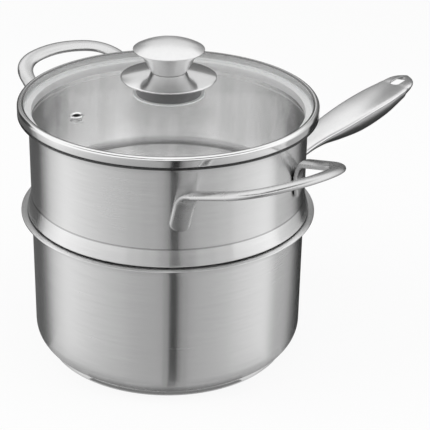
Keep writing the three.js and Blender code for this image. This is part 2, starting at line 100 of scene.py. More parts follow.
class VesselSizes(bpy.types.PropertyGroup):
    """Sizes of the pan and the steamer."""

    sheet: length("Sheet", "Thickness of the drawn steel", 1)
    wall_radius: length("Wall radius", "Outside of both walls", 100)
    flare_width: length("Flare width", "How far a wall flares out to its flat lip", 4)
    flare_height: length("Flare height", "Height of that flare", 8)
    lip_width: length("Lip width", "Flat part of both lips", 4.2)
    fit: length("Fit", "Clearance between pieces that touch", 0.3)
    pan_height: length("Pan height", "Table to the top of the pan's lip", 109.3)
    corner_radius: length("Corner radius", "Outside radius between wall and floor", 16)
    base_inset: length("Base inset", "Wall to the edge of the base cap", 9.4)
    cap_sheet: length("Cap sheet", "Thickness of the base cap", 0.6)
    core_thickness: length("Core thickness", "Heat-spreading disc inside the base", 2.4)
    steamer_height: length("Steamer height", "Pan's lip to the top of the steamer's lip", 75.7)
    crease_rise: length("Crease rise", "Pan's lip to where the steamer's wall ends", 13)
    bead_offset: length("Bead offset", "Wall to the middle of the seating bead", 1)
    bead_round: length("Bead round", "Bend radius of the bead at mid sheet", 1.6)
    moat_inset: length("Moat inset", "Wall to the outer edge of the lower floor", 3)
    lower_floor_rise: length("Lower floor rise", "Pan's lip to the lower floor", 6.7)
    step_radius: length("Step radius", "Outer edge of the step between the floors", 76)
    step_width: length("Step width", "Width of the step between the floors", 4)
    step_height: length("Step height", "Height of the step between the floors", 3.5)
    step_round: length("Step round", "Width of the rounding along each floor edge", 1.9)
    crease_round: length("Crease round", "Width of the rounding along the crease", 0.6)
    rim_round: length("Rim round", "Width of the rounding along each lip", 0.25)
    hole_radius: length("Hole radius", "Radius of a steam hole", 2.6)
    hole_pitch: length("Hole pitch", "Distance between rings of steam holes", 11)
    hole_rings: count("Hole rings", "Rings of steam holes round the middle one", 4)
    first_ring: count("First ring", "Holes in the first ring, and more in each ring after it", 6)


class HandleSizes(bpy.types.PropertyGroup):
    """Sizes of the long handle and its bracket."""

    bracket_thickness: length("Bracket thickness", "Bracket between the wall and the handle", 3)
    reach: length("Reach", "Bracket to the handle's tip", 188.5)
    root_drop: length("Root drop", "Pan's lip to the handle's upper edge at the bracket", 14.8)
    tip_length: length("Tip length", "Length of the rounded tip", 17)
    sheet: length("Sheet", "Thickness of the top plate", 1.6)
    crown: length("Crown", "Rise of the top plate across its width", 1.4)
    edge_round: length("Edge round", "Width of the rounding along the belly and the hang slot", 0.45)
    edge_fall: length("Edge fall", "How far the top plate's edges round down", 1.3)
    edge_share: share("Edge share", "Share of the half width that each rounded edge takes", 0.2)
    slot_length: length("Slot length", "Length of the hang slot", 16.5)
    slot_width: length("Slot width", "Width of the hang slot", 9)
    slot_scoop: length("Slot scoop", "Diameter of the belly's opening under the hang slot", 23)
    under_opening: length("Under opening", "Diameter of the opening in the belly's underside", 28)
    under_drop: length("Under drop", "Top plate to that opening", 3.2)
    under_shift: length("Under shift", "Hang slot to that opening, towards the tip", 9)
    under_offset: length("Under offset", "Hang slot to that opening, across the handle", 6)
    slot_inset: length("Slot inset", "Tip to the middle of the hang slot", 13)


class LoopSizes(bpy.types.PropertyGroup):
    """Sizes of the steamer's two loop handles."""

    turn: angle("Turn", "Long handle to the front loop, clockwise from above", 100.3)
    rise: angle("Rise", "Slope of the loop's plane", 18.9)
    width: length("Width", "Width of the bar seen from above", 12)
    thickness: length("Thickness", "Thickness of the bar", 5.2)
    root_drop: length("Root drop", "Steamer's lip to where the loop meets the wall", 20.4)
    root_spread: length("Root spread", "Half the distance between the roots", 48)
    corner_reach: length("Corner reach", "Wall to the loop's corners, before rounding", 45.8)
    corner_spread: length("Corner spread", "Half the distance between the corners", 40)
    middle_reach: length("Middle reach", "Wall to the middle of the bar, before rounding", 57.65)
    corner_round: length("Corner round", "Length of each corner's rounding", 19)
    bend: length("Bend", "Length of the bend from loop to foot, each way", 9)
    edge_share: share("Edge share", "Share of the bar's thickness that is its straight edge", 0.35)
    foot_edge_share: share("Foot edge share", "Share of a foot's thickness that is its straight edge", 0.8)
    foot_width: length("Foot width", "Width of a foot", 14.2)
    foot_thickness: length("Foot thickness", "Thickness of a foot", 2.6)
    foot_drop: length("Foot drop", "Steamer's lip to the foot's lower end", 47.4)
    foot_lean: angle("Foot lean", "Sideways lean of a foot round the wall", 3.3)
    foot_corner: length("Foot corner", "Radius of the corners at a foot's lower end", 4)


class LidSizes(bpy.types.PropertyGroup):
    """Sizes of the lid and its vent."""

    band_sheet: length("Band sheet", "Thickness of the steel band", 0.8)
    band_height: length("Band height", "Height of the band", 7.2)
    band_top: length("Band top", "Width of the band's rolled top edge", 4.4)
    band_round: length("Band round", "Bend radius of the band's edges at mid sheet", 1.2)
    crown_fall: length("Crown fall", "Middle of the band's top to where its outer face is straight", 2.2)
    skirt_depth: length("Skirt depth", "Reach of the band inside the steamer's mouth", 5)
    seal_thickness: length("Seal thickness", "Thickness of the seal under the glass", 1.8)
    seal_width: length("Seal width", "Width of the seal under the glass", 2)
    glass: length("Glass", "Thickness of the glass", 3)
    dome_rise: length("Dome rise", "Rise of the glass from edge to middle", 4.7)
    vent_inset: length("Vent inset", "Edge of the glass to the vent", 32.6)
    vent_turn: angle("Vent turn", "Direction of the vent from the long handle", 166.5)
    vent_flange: length("Vent flange", "Radius of the vent's flange", 5)
    vent_barrel: length("Vent barrel", "Radius of the vent's barrel", 3.3)
    vent_bore: length("Vent bore", "Radius of the vent's bore", 2.6)
    vent_flange_thickness: length("Vent flange thickness", "Thickness of each flange", 0.9)


class KnobSizes(bpy.types.PropertyGroup):
    """Sizes of the lid's knob."""

    screw_hole: length("Screw hole", "Radius of the hole for the screw", 2.7)
    washer: length("Washer", "Thickness of the washer on the glass", 1)
    collar_radius: length("Collar radius", "Radius of the dark collar", 23.3)
    skirt_radius: length("Skirt radius", "Radius of the polished skirt", 34.2)
    skirt_sheet: length("Skirt sheet", "Thickness of the skirt", 1)
    skirt_rim: length("Skirt rim", "Middle of the glass to the top of the skirt's rim", 13)
    skirt_rise: length("Skirt rise", "Skirt's rim to the neck", 4)
    skirt_curl: factor("Skirt curl", "How late the skirt bends down, as a power of the way to its rim", 1.4)
    neck_radius: length("Neck radius", "Radius of the neck's bottom", 12.4)
    neck_height: length("Neck height", "Neck's bottom to the underside of the cap", 11.5)
    cap_under: length("Cap under", "Radius where the neck meets the cap", 19)
    cap_radius: length("Cap radius", "Radius of the cap's rim", 25.6)
    cap_drop: length("Cap drop", "Middle of the cap to its rim", 6.4)
    cap_curl: factor("Cap curl", "How late the cap bends down, as a power of the way to its rim", 2.3)
    cap_height: length("Cap height", "Neck's bottom to the middle of the cap", 23)
    cap_wall: length("Cap wall", "Wall of the hollow cap", 1.2)


class Finishes(bpy.types.PropertyGroup):
    """Colours of the pieces."""

    satin: colour("Satin steel", "Brushed steel of pan, steamer and long handle", 0.82, 0.82, 0.82)
    bright: colour("Bright steel", "Polished steel of lid band, vent and base", 0.8, 0.8, 0.8)
    loop: colour("Loop steel", "Satin steel of loops, bracket and the knob's fixing", 0.64, 0.64, 0.64)
    knob: colour("Knob steel", "Polished steel of the knob", 0.76, 0.76, 0.76)
    aluminium: colour("Aluminium", "Heat-spreading disc in the base", 0.62, 0.63, 0.64)
    # This rubber colour also serves as painted shade on the vent's bore
    rubber: colour("Rubber", "Washer under the glass, and the vent's dark bore", 0.02, 0.02, 0.02)
    collar: colour("Collar", "Dark collar under the knob", 0.16, 0.16, 0.162)
    silicone: colour("Silicone", "Clear seal in the band and washer on the glass", 0.8, 0.81, 0.81)
    glass: colour("Glass", "Tint of the lid's glass", 0.988, 0.988, 0.988)
    gloss_spread: share("Gloss spread", "How much wider brushed steel spreads gloss across its brushing", 1.0)


class Studio(bpy.types.PropertyGroup):
    """Camera and light."""

    lens: bpy.props.FloatProperty(
        name="Lens", description="Focal length on a 36 mm frame", default=117.93,
        subtype="DISTANCE_CAMERA", unit="CAMERA",
    )
    camera_turn: angle("Camera turn", "Direction that the camera looks in, from the long handle", 43.02)
    camera_pitch: angle("Camera pitch", "How far the camera looks down", 25.885)
    camera_roll: angle("Camera roll", "Tilt of the camera about its own line of sight", 1.184)
    camera_place: bpy.props.FloatVectorProperty(
        name="Camera place", description="Where the camera stands", default=(-0.66378, -0.66688, 0.55695),
        size=3, subtype="XYZ", unit="LENGTH",
    )
    soft_box_power: bpy.props.FloatProperty(
        name="Soft box", description="Power of the left soft box", default=9.0, min=0.0,
        subtype="POWER", unit="POWER",
    )
    soft_box_distance: length("Soft box distance", "Axis to each soft box", 1100)
    soft_box_rise: length("Soft box rise", "Table to the middle of each soft box", 550)
    soft_box_height: length("Soft box height", "Height of each soft box", 1300)
    aim_height: length("Aim height", "Height that the soft boxes look at", 110)
    card_reach: length("Card reach", "Length of the cards that lie on the floor", 600)
    cap_card_size: length("Cap card size", "Width of the white card above the knob", 370)
    cap_card_height: length("Cap card height", "Height of that card, clear of the lifted lid", 450)
    card_gap: length("Card gap", "Wall to the cards that lie on the floor", 6)
    room: share("Room", "Light from all round on matt surfaces", 0.7)
    room_sides: factor("Room sides", "How bright gloss sees the room to the sides", 1.36)
    room_front_fall: factor("Room front fall", "How much dimmer gloss sees the room towards the camera", 0.8)
    room_front_rise: factor("Room front rise", "How fast that dimness ends upwards", 1.8)
    room_back_fall: factor("Room back fall", "How much dimmer gloss sees the room behind the object", 1.2)
    room_level: factor("Room level", "Share of that brightness at eye level", 0.95)
    room_rise: factor("Room rise", "How much of that brightness comes on top overhead", 0.65)
    ceiling_back: share("Ceiling back", "Height from which the room is bright behind the object", 0.7)
    ceiling_fall: factor("Ceiling fall", "How fast the room darkens below that height", 4.0)
    ceiling_dark: share("Ceiling dark", "How much the ceiling is dimmed behind the object", 0.22)
    dark_low: share("Dark low", "Height from which the ceiling is dimmed", 0.55)
    dark_reach: share("Dark reach", "How far that dark ceiling reaches behind the object", 0.55)
    dark_fall: factor("Dark fall", "How fast the ceiling gets dark towards the camera", 1.6)
    dark_depth: share("Dark depth", "How much darker the ceiling gets towards the camera", 0.72)
    room_peak: factor("Room peak", "Brightest that gloss sees the room", 1.2)
    floor: share("Floor", "How white the floor shows, apart from its shadow", 0.88)


# Modelling helpers
def spread(start, end, steps):
    """Evenly spread values from one to another."""
    return [start + (end - start) * step / steps for step in range(steps + 1)]


def arc(middle, radii, start, end, steps):
    """Points on an ellipse's arc, from one angle to another in degrees."""
    turns = [math.radians(value) for value in spread(start, end, steps)]
    return [(middle[0] + radii[0] * math.cos(turn), middle[1] + radii[1] * math.sin(turn)) for turn in turns]


def select_only(piece):
    """Makes a piece the active one and the only one selected."""
    bpy.ops.object.select_all(action="DESELECT")
    bpy.context.view_layer.objects.active = piece
    piece.select_set(True)


def edit_whole(piece):
    """Opens a piece in edit mode with all of it selected."""
    select_only(piece)
    bpy.ops.object.mode_set(mode="EDIT")
    bpy.ops.mesh.select_all(action="SELECT")


def one_corner():
    """Adds one selected corner at the origin to what is in edit mode."""
    bpy.ops.mesh.select_all(action="DESELECT")
    bpy.ops.mesh.primitive_plane_add(size=MM, location=(0, 0, 0))
    bpy.ops.mesh.merge(type="CENTER")


def start_piece(name):
    """Starts a piece in edit mode, with one corner at the origin."""
    bpy.ops.object.select_all(action="DESELECT")
    bpy.ops.mesh.primitive_plane_add(size=MM, location=(0, 0, 0))
    piece = bpy.context.object
    piece.name = name
    bpy.ops.object.mode_set(mode="EDIT")
    bpy.ops.mesh.select_all(action="SELECT")
    bpy.ops.mesh.delete(type="VERT")
    one_corner()
    return piece


def draw_line(points):
    """Moves the one selected corner to the first point and extrudes it through the others."""
    bpy.ops.transform.translate(value=points[0])
    for before, after in zip(points, points[1:]):
        bpy.ops.mesh.extrude_vertices_move(TRANSFORM_OT_translate={"value": after - before})


def draw_face(points):
    """Draws a line through points and fills it with a face."""
    draw_line(points)
    bpy.ops.mesh.select_all(action="SELECT")
    bpy.ops.mesh.edge_face_add()


def close_shape():
    """Merges the corners that lie on each other, turns the faces outwards and leaves edit mode."""
    bpy.ops.mesh.select_all(action="SELECT")
    bpy.ops.mesh.remove_doubles(threshold=MERGE)
    bpy.ops.mesh.normals_make_consistent(inside=False)
    bpy.ops.object.mode_set(mode="OBJECT")


def apply_modifier(piece, kind, **settings):
    """Adds a modifier to a piece and applies it."""
    modifier = piece.modifiers.new(kind.title(), kind)
    for key, value in settings.items():
        setattr(modifier, key, value)
    select_only(piece)
    bpy.ops.object.modifier_apply(modifier=modifier.name)


def round_edges(piece, width, steepest, segments=3):
    """Rounds the edges that turn more sharply than an angle in degrees."""
    apply_modifier(
        piece, "BEVEL", width=width, segments=segments, limit_method="ANGLE",
        angle_limit=math.radians(steepest), use_clamp_overlap=True,
    )


def spun(name, points, turns):
    """A piece turned about the axis from a line of radius and height."""
    piece = start_piece(name)
    draw_line([Vector((radius, 0, height)) for radius, height in points])
    bpy.ops.mesh.select_all(action="SELECT")
    bpy.ops.mesh.spin(steps=turns, angle=FULL_TURN, center=(0, 0, 0), axis=UP)
    close_shape()
    return piece


def spun_sheet(name, path, thickness, turns):
    """A round sheet that follows a path at mid thickness."""
    piece = spun(name, path, turns)
    apply_modifier(piece, "SOLIDIFY", thickness=thickness, offset=0.0, use_even_offset=True)
    return piece


def spun_body(name, outline, turns):
    """A round body whose outline closes on itself or on the axis."""
    on_axis = outline[0][0] == 0 and outline[-1][0] == 0
    return spun(name, outline if on_axis else [*outline, outline[0]], turns)


def cut_away(piece, tool):
    """Cuts a tool out of a piece and removes the tool."""
    faces = len(piece.data.polygons)
    apply_modifier(piece, "BOOLEAN", operation="DIFFERENCE", object=tool, solver="EXACT")
    if len(piece.data.polygons) < faces / 2:
        raise RuntimeError(f"cutting {tool.name} out of {piece.name} lost most of it")
    bpy.data.objects.remove(tool)


def dress(piece, body, slot, finish, *nodes, sharpest=32):
    """Shades a piece smoothly, gives it its finish and sets it on its body in place of the solids' nodes."""
    select_only(piece)
    bpy.ops.object.shade_smooth_by_angle(angle=math.radians(sharpest))
    piece.data.materials.clear()
    piece.data.materials.append(finish_named(finish))
    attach(piece, body)
    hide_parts(*nodes)


def repaint(node, finish):
    """Gives a solid that stays in view its finish."""
    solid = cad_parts[node]
    solid.data.materials.clear()
    solid.data.materials.append(finish_named(finish))


# Shader helpers
class Wire:
    """A shader socket that takes part in Python sums, each of which adds a Math node."""

    def __init__(self, board, socket):
        self.board = board
        self.socket = socket

    def math(self, operation, *values):
        """A Math node on these values."""
        return self.board.add("ShaderNodeMath", {"operation": operation}, dict(enumerate(values)))

    def __add__(self, other):
        return self.math("ADD", self, other)

    def __sub__(self, other):
        return self.math("SUBTRACT", self, other)

    def __rsub__(self, other):
        return self.math("SUBTRACT", other, self)

    def __mul__(self, other):
        return self.math("MULTIPLY", self, other)

    def __truediv__(self, other):
        return self.math("DIVIDE", self, other)

    def __pow__(self, other):
        return self.math("POWER", self, other)

    def above(self, limit):
        """1 where the value is more than a limit, and otherwise 0."""
        return self.math("GREATER_THAN", self, limit)

    def below(self, limit):
        """1 where the value is less than a limit, and otherwise 0."""
        return self.math("LESS_THAN", self, limit)


class Board:
    """The nodes of one material or of the room."""

    def __init__(self, owner):
        owner.use_nodes = True
        self.owner = owner
        self.tree = owner.node_tree
        self.tree.nodes.clear()

    def add(self, kind, settings=None, sockets=None, output=0):
        """A node with its settings, then its sockets' values or links."""
        node = self.tree.nodes.new(kind)
        for key, value in (settings or {}).items():
            setattr(node, key, value)
        for key, value in (sockets or {}).items():
            if isinstance(value, Wire):
                self.tree.links.new(value.socket, node.inputs[key])
            else:
                node.inputs[key].default_value = value
        return Wire(self, node.outputs[output]) if node.outputs else None

    def blend(self, factor, first, second):
        """A colour between two colours."""
        return self.add("ShaderNodeMix", {"data_type": "RGBA"}, {0: factor, 6: first, 7: second}, output=2)

    def place(self):
        """Where a point lies on its piece, and the same as three values."""
        place = self.add("ShaderNodeTexCoord", output="Object")
        axes = self.tree.nodes.new("ShaderNodeSeparateXYZ")
        self.tree.links.new(place.socket, axes.inputs[0])
        return place, *(Wire(self, socket) for socket in axes.outputs)

    def clamp(self, value):
        """A value kept between nothing and one."""
        return self.add("ShaderNodeClamp", {}, {"Value": value})

    def noise(self, vector, scale, detail, roughness=0.5):
        """Soft random values about a half."""
        sockets = {"Vector": vector, "Scale": scale, "Detail": detail, "Roughness": roughness}
        return self.add("ShaderNodeTexNoise", {}, sockets)


# White, and the two shares of it that the floor's mottle lies between
WHITE = (1, 1, 1)
FLOOR_DARK = 0.84
FLOOR_PALE = 0.88
# Rings of grain, in changes round the axis and per metre from ring to ring
BRUSHED_GRAIN = (3.0, 900.0)
STREAK_GRAIN = (5.0, 3.0)
WIPING_GRAIN = (8.0, 600.0)
# How strongly a finish changes with its grain and smudges
GRAIN_HEIGHT = 0.02 * MM
GRAIN_GLOSS = 0.6
SMUDGE_GLOSS = 0.06
# Painted light in streaks inside the steamer: their contrast and level
STREAK_CONTRAST = 3.0
INSIDE_PAINTED_LIGHT = 0.8
# How much lighter or darker a finish gets where light or shade is painted on it, as a share of its colour
PAINTED_LIGHT_TONE = 1.2
SHADED = 0.04
# How strongly the painted shade, painted highlight or dullness of each place shows, from 0 to 1
UNDER_BAND_SHADE = 0.9
FLOOR_SHADE = 0.12
CREASE_SHADE = 0.4
PAINTED_BEND_HIGHLIGHT = 0.6
LIP_SEAM_SHADE = 0.9
GLASS_SEAM_SHADE = 0.8
UNDER_GLASS_DULLNESS = 0.5
UNDER_GLASS_ROUGHNESS = 0.35
SKIRT_EDGE_DULLNESS = 0.3
# Where those places lie, as shares of the bead's bend and of the band's top
SEAT_SHARE = 0.6
GLASS_SEAM_SHARE = 0.68
# Turn that spreads gloss across the brushing, in whole turns
QUARTER_TURN = 0.25
# Grain along and across the long handle, in changes per metre
ALONG_GRAIN = 40.0
ACROSS_GRAIN = 1300.0
# Surface of rubber and plastic: depth of its grain, and how much its clouds change colour and gloss
MOULDED_DEPTH = 0.3
MOULDED_HEIGHT = 0.05 * MM
CLOUD_DARK = 0.8
CLOUD_PALE = 1.25
CLOUD_GLOSS = 0.2
# Gloss of the glass: its roughness, its strength at the edges, face on and in wiping marks
GLASS_ROUGHNESS = 0.04
MARK_GLOSS = 0.05
MARK_TINT = 0.94
EDGE_POWER = 5.0
EDGE_MIRROR = 0.4
MARK_MIRROR = 0.01
FACE_MIRROR = 0.005


def tone(rgb, factor=1.0):
    """A colour with its alpha, lighter or darker by a factor."""
    return (*(min(value * factor, 1.0) for value in rgb), 1.0)


def from_axis(x, y):
    """Distance from the axis."""
    return (x * x + y * y) ** 0.5 + MERGE


def ring_noise(board, x, y, rise, grain, detail, roughness=0.5):
    """Noise in rings about the axis, by a point's heading and a value that rises from ring to ring."""
    radius = from_axis(x, y)
    turns, lines = grain
    sockets = {0: x / radius * turns, 1: y / radius * turns, 2: rise * lines}
    return board.noise(board.add("ShaderNodeCombineXYZ", {}, sockets), 1.0, detail, roughness)


def metal(board, rgb, grain, smudges, roughness, grain_depth, contrast, shade=0.0, painted_light=0.0, **sockets):
    """Ends a board in a metal with a grain, darkened by painted shade and lightened by painted light."""
    surface = board.add(
        "ShaderNodeBump", {}, {"Strength": grain_depth, "Distance": GRAIN_HEIGHT, "Height": grain}
    )
    bare = board.blend(grain, tone(rgb, 1 - contrast), tone(rgb, 1 + contrast))
    # Painted light lightens the colour, and painted shade darkens it
    pale = board.blend(painted_light, bare, tone(rgb, PAINTED_LIGHT_TONE))
    hue = board.blend(shade, pale, tone(rgb, SHADED))
    gloss = (grain - 0.5) * (contrast * GRAIN_GLOSS) + (smudges - 0.5) * SMUDGE_GLOSS + roughness
    shader = board.add(
        "ShaderNodeBsdfPrincipled", {},
        {"Base Color": hue, "Metallic": 1.0, "Roughness": gloss, "Normal": surface, **sockets},
    )
    board.add("ShaderNodeOutputMaterial", {}, {"Surface": shader})
    return board.owner


def round_brushed(name, rgb, gloss_spread, vessels, roughness):
    """Steel brushed in rings about the axis, with painted light in streaks inside, painted shade on the
    steamer's seat and crease, under the band and on its floor, and a less metallic line at the bend inside
    for a painted highlight.
    """
    board = Board(bpy.data.materials.new(name))
    place, x, y, z = board.place()
    radius = from_axis(x, y)
    lip = steamer_top(vessels)
    bend = lip - vessels.flare_height
    crease = vessels.pan_height + vessels.crease_rise
    seat_top = vessels.pan_height + vessels.bead_round * SEAT_SHARE + vessels.fit
    inside = radius.below(vessels.wall_radius - vessels.sheet / 2)
    outside = 1.0 - inside
    # Painted shade on the bead in the pan's seat, at the crease, on the lip's edge under the band and on the
    # steamer's floor
    in_seat = z.above(vessels.pan_height + vessels.fit / 2) * z.below(seat_top) * outside
    in_crease = z.above(crease - vessels.crease_round) * z.below(crease + vessels.crease_round) * outside
    under_band = z.above(lip - vessels.sheet) * radius.above(lip_radius(vessels) - vessels.sheet / 2)
    on_floor = inside * z.below(crease)
    # Less metallic along the bend inside, as a painted highlight line
    at_bend = inside * z.above(bend - vessels.sheet) * z.below(bend)
    # Painted light inside the steamer, in streaks that follow its brushing
    streaks = ring_noise(board, x, y, z, STREAK_GRAIN, detail=3.0)
    painted_streak_light = (streaks - 0.5) * STREAK_CONTRAST + INSIDE_PAINTED_LIGHT
    return metal(
        board, rgb, ring_noise(board, x, y, z + radius, BRUSHED_GRAIN, detail=4.0, roughness=0.65),
        board.noise(place, scale=16.0, detail=3.0), roughness, grain_depth=0.01, contrast=0.07,
        shade=in_seat + under_band * UNDER_BAND_SHADE + on_floor * FLOOR_SHADE + in_crease * CREASE_SHADE,
        painted_light=inside * painted_streak_light,
        **{
            "Metallic": 1.0 - at_bend * PAINTED_BEND_HIGHLIGHT,
            "Anisotropic": gloss_spread,
            "Anisotropic Rotation": QUARTER_TURN,
        },
    )


def long_brushed(name, rgb, roughness):
    """Steel brushed along the long handle."""
    board = Board(bpy.data.materials.new(name))
    place, x, y, z = board.place()
    sockets = {0: x * ALONG_GRAIN, 1: y * ACROSS_GRAIN, 2: z * ACROSS_GRAIN}
    lines = board.add("ShaderNodeCombineXYZ", {}, sockets)
    return metal(
        board, rgb, board.noise(lines, scale=1.0, detail=4.0, roughness=0.65),
        board.noise(place, scale=30.0, detail=3.0),
        roughness, grain_depth=0.2, contrast=0.1,
    )


def fine_satin(name, rgb, roughness):
    """Steel with a fine grain that runs no special way."""
    board = Board(bpy.data.materials.new(name))
    place = board.place()[0]
    return metal(
        board, rgb, board.noise(place, scale=1500.0, detail=3.0), board.noise(place, scale=40.0, detail=3.0),
        roughness, grain_depth=0.15, contrast=0.08,
    )


def polished(name, rgb, roughness, gloss_spread=0.0, contrast=0.05):
    """Polished steel with faint wiping marks round the axis."""
    board = Board(bpy.data.materials.new(name))
    place, x, y, z = board.place()
    return metal(
        board, rgb, ring_noise(board, x, y, z + from_axis(x, y), WIPING_GRAIN, detail=3.0),
        board.noise(place, scale=60.0, detail=3.0), roughness, grain_depth=0.01, contrast=contrast,
        **{"Anisotropic": gloss_spread, "Anisotropic Rotation": QUARTER_TURN},
    )


def band_polished(name, rgb, vessels, lid, roughness):
    """Polished steel of the lid's band, rougher and less metallic under the glass with painted light there,
    and painted shade where it meets glass and lip.
    """
    board = Board(bpy.data.materials.new(name))
    place, x, y, z = board.place()
    radius = from_axis(x, y)
    outer = lip_radius(vessels)
    low = steamer_top(vessels) + vessels.fit
    crown = low + lid.band_height - lid.crown_fall / 2
    # Painted light under the glass, where the band is also rougher and less metallic
    under_glass = radius.below(outer - lid.band_sheet / 2) * z.below(crown)
    at_edge = z.below(low - lid.skirt_depth + lid.band_sheet)
    # Painted shade where the band meets the steamer's lip and the glass
    at_lip = z.below(low + lid.band_sheet / 2) * radius.above(outer - lid.band_top) * (1.0 - at_edge)
    at_glass = radius.below(outer - lid.band_top * GLASS_SEAM_SHARE) * z.above(crown)
    return metal(
        board, rgb, ring_noise(board, x, y, z + radius, WIPING_GRAIN, detail=3.0),
        board.noise(place, scale=60.0, detail=3.0), under_glass * UNDER_GLASS_ROUGHNESS + roughness,
        grain_depth=0.04, contrast=0.05, shade=at_lip * LIP_SEAM_SHADE + at_glass * GLASS_SEAM_SHADE,
        painted_light=under_glass,
        **{"Metallic": 1.0 - under_glass * UNDER_GLASS_DULLNESS - at_edge * SKIRT_EDGE_DULLNESS},
    )


def moulded(name, rgb, roughness, grain_scale):
    """Rubber or plastic with a moulded grain."""
    board = Board(bpy.data.materials.new(name))
    place = board.place()[0]
    grain = board.noise(place, grain_scale, detail=3.0)
    clouds = board.noise(place, scale=45.0, detail=3.0)
    surface = board.add(
        "ShaderNodeBump", {}, {"Strength": MOULDED_DEPTH, "Distance": MOULDED_HEIGHT, "Height": grain}
    )
    shader = board.add(
        "ShaderNodeBsdfPrincipled", {},
        {
            "Base Color": board.blend(clouds, tone(rgb, CLOUD_DARK), tone(rgb, CLOUD_PALE)),
            "Roughness": (clouds - 0.5) * CLOUD_GLOSS + roughness,
            "Normal": surface,
        },
    )
    board.add("ShaderNodeOutputMaterial", {}, {"Surface": shader})
    return board.owner


def clear_glass(name, rgb):
    """Clear glass whose gloss grows towards its edges, with faint wiping marks."""
    board = Board(bpy.data.materials.new(name))
    place = board.place()[0]
    marks = board.noise(place, scale=22.0, detail=4.0)
    slant = board.add("ShaderNodeLayerWeight", {}, {"Blend": 0.5}, output="Facing")
    see_through = board.add("ShaderNodeBsdfTransparent", {}, {"Color": tone(rgb)})
    gloss = board.add(
        "ShaderNodeBsdfPrincipled", {},
        {
            "Base Color": board.blend(marks, tone(rgb, MARK_TINT), tone(rgb)),
            "Metallic": 1.0,
            "Roughness": (marks - 0.5) * MARK_GLOSS + GLASS_ROUGHNESS,
        },
    )
    mirror = slant**EDGE_POWER * EDGE_MIRROR + marks * MARK_MIRROR + FACE_MIRROR
    shader = board.add("ShaderNodeMixShader", {}, {0: mirror, 1: see_through, 2: gloss})
    board.add("ShaderNodeOutputMaterial", {}, {"Surface": shader})
    return board.owner


def finish_named(name):
    """A finish by its name, made the first time that it is asked for."""
    made = bpy.data.materials.get(name)
    if made:
        return made
    scene = bpy.context.scene
    colours = scene.cookware_finishes
    vessels = scene.cookware_vessels
    makers = {
        "ring_brushed_steel": lambda: round_brushed(
            name, colours.satin, colours.gloss_spread, vessels, roughness=0.26
        ),
        "handle_steel": lambda: long_brushed(name, colours.satin, roughness=0.3),
        "loop_steel": lambda: polished(name, colours.loop, roughness=0.27, contrast=0.02),
        "polished_steel": lambda: polished(name, colours.bright, roughness=0.15),
        "knob_steel": lambda: polished(name, colours.knob, roughness=0.16, gloss_spread=0.5),
        "cap_steel": lambda: polished(name, colours.knob, roughness=0.3, gloss_spread=0.5),
        "base_steel": lambda: polished(name, colours.bright, roughness=0.28),
        "band_steel": lambda: band_polished(
            name, colours.bright, vessels, scene.cookware_lid, roughness=0.13
        ),
        "clear_silicone": lambda: moulded(name, colours.silicone, roughness=0.3, grain_scale=1800.0),
        "bore_painted_shade": lambda: moulded(name, colours.rubber, roughness=0.5, grain_scale=1800.0),
        "plain_aluminium": lambda: fine_satin(name, colours.aluminium, roughness=0.5),
        "silicone": lambda: moulded(name, colours.rubber, roughness=0.6, grain_scale=1800.0),
        "collar_plastic": lambda: moulded(name, colours.collar, roughness=0.33, grain_scale=1200.0),
        "lid_glass_clear": lambda: clear_glass(name, colours.glass),
    }
    return makers[name]()


# Shared outlines
def lip_path(sizes, lip_height):
    """The last part of both walls: a flare that ends in a flat lip."""
    wall = sizes.wall_radius - sizes.sheet / 2
    top = lip_height - sizes.sheet / 2
    middle = (wall + sizes.flare_width, top - sizes.flare_height)
    flare = arc(middle, (sizes.flare_width, sizes.flare_height), 180, 90, 12)
    return [*flare, (wall + sizes.flare_width + sizes.lip_width, top)]


def lip_radius(sizes):
    """Outer edge of both lips."""
    return sizes.wall_radius - sizes.sheet / 2 + sizes.flare_width + sizes.lip_width


def steamer_top(sizes):
    """Height of the steamer's lip."""
    return sizes.pan_height + sizes.steamer_height


def glass_edge(sizes, lid):
    """Radius of the glass."""
    return lip_radius(sizes) - lid.band_sheet - sizes.fit


def glass_top(sizes, lid, radius):
    """Height of the glass at a radius."""
    edge = glass_edge(sizes, lid)
    edge_top = steamer_top(sizes) + sizes.fit + lid.band_height - lid.band_sheet - sizes.fit
    return edge_top + lid.dome_rise * (1 - (radius / edge) ** 2)


# Steps round large pieces, the knob's pieces and the vent, then the sides of a steam hole
LARGE_TURNS = 160
SMALL_TURNS = 96
VENT_TURNS = 48
HOLE_SIDES = 20
# Length of a steam hole's tool in sheets, and top of the slot's tool as a share of the pan's height
HOLE_TOOL_SHEETS = 6
SLOT_TOOL_SHARE = 1.5
# Steps over the knob's cap, and the share of its radius that they reach
CROWN_STEPS = 20
CROWN_SHARE = 0.98


class COOKWARE_OT_pan(bpy.types.Operator):
    """Models the pan's drawn shell"""

    bl_idname = "cookware.pan"
    bl_label = "Pan shell"

    def execute(self, context):
        sizes = context.scene.cookware_vessels
        bottom = sizes.cap_sheet + sizes.core_thickness
        bend = sizes.corner_radius - sizes.sheet / 2
        middle = (sizes.wall_radius - sizes.corner_radius, bottom + sizes.corner_radius)
        path = [
            (0, bottom + sizes.sheet / 2),
            *arc(middle, (bend, bend), -90, 0, 14),
            *lip_path(sizes, sizes.pan_height),
        ]
        piece = spun_sheet("pan_drawn_shell", path, sizes.sheet, LARGE_TURNS)
        round_edges(piece, sizes.rim_round, steepest=50)
        dress(piece, "pan", "satin_steel", "ring_brushed_steel", "pan_shell")
        return {"FINISHED"}


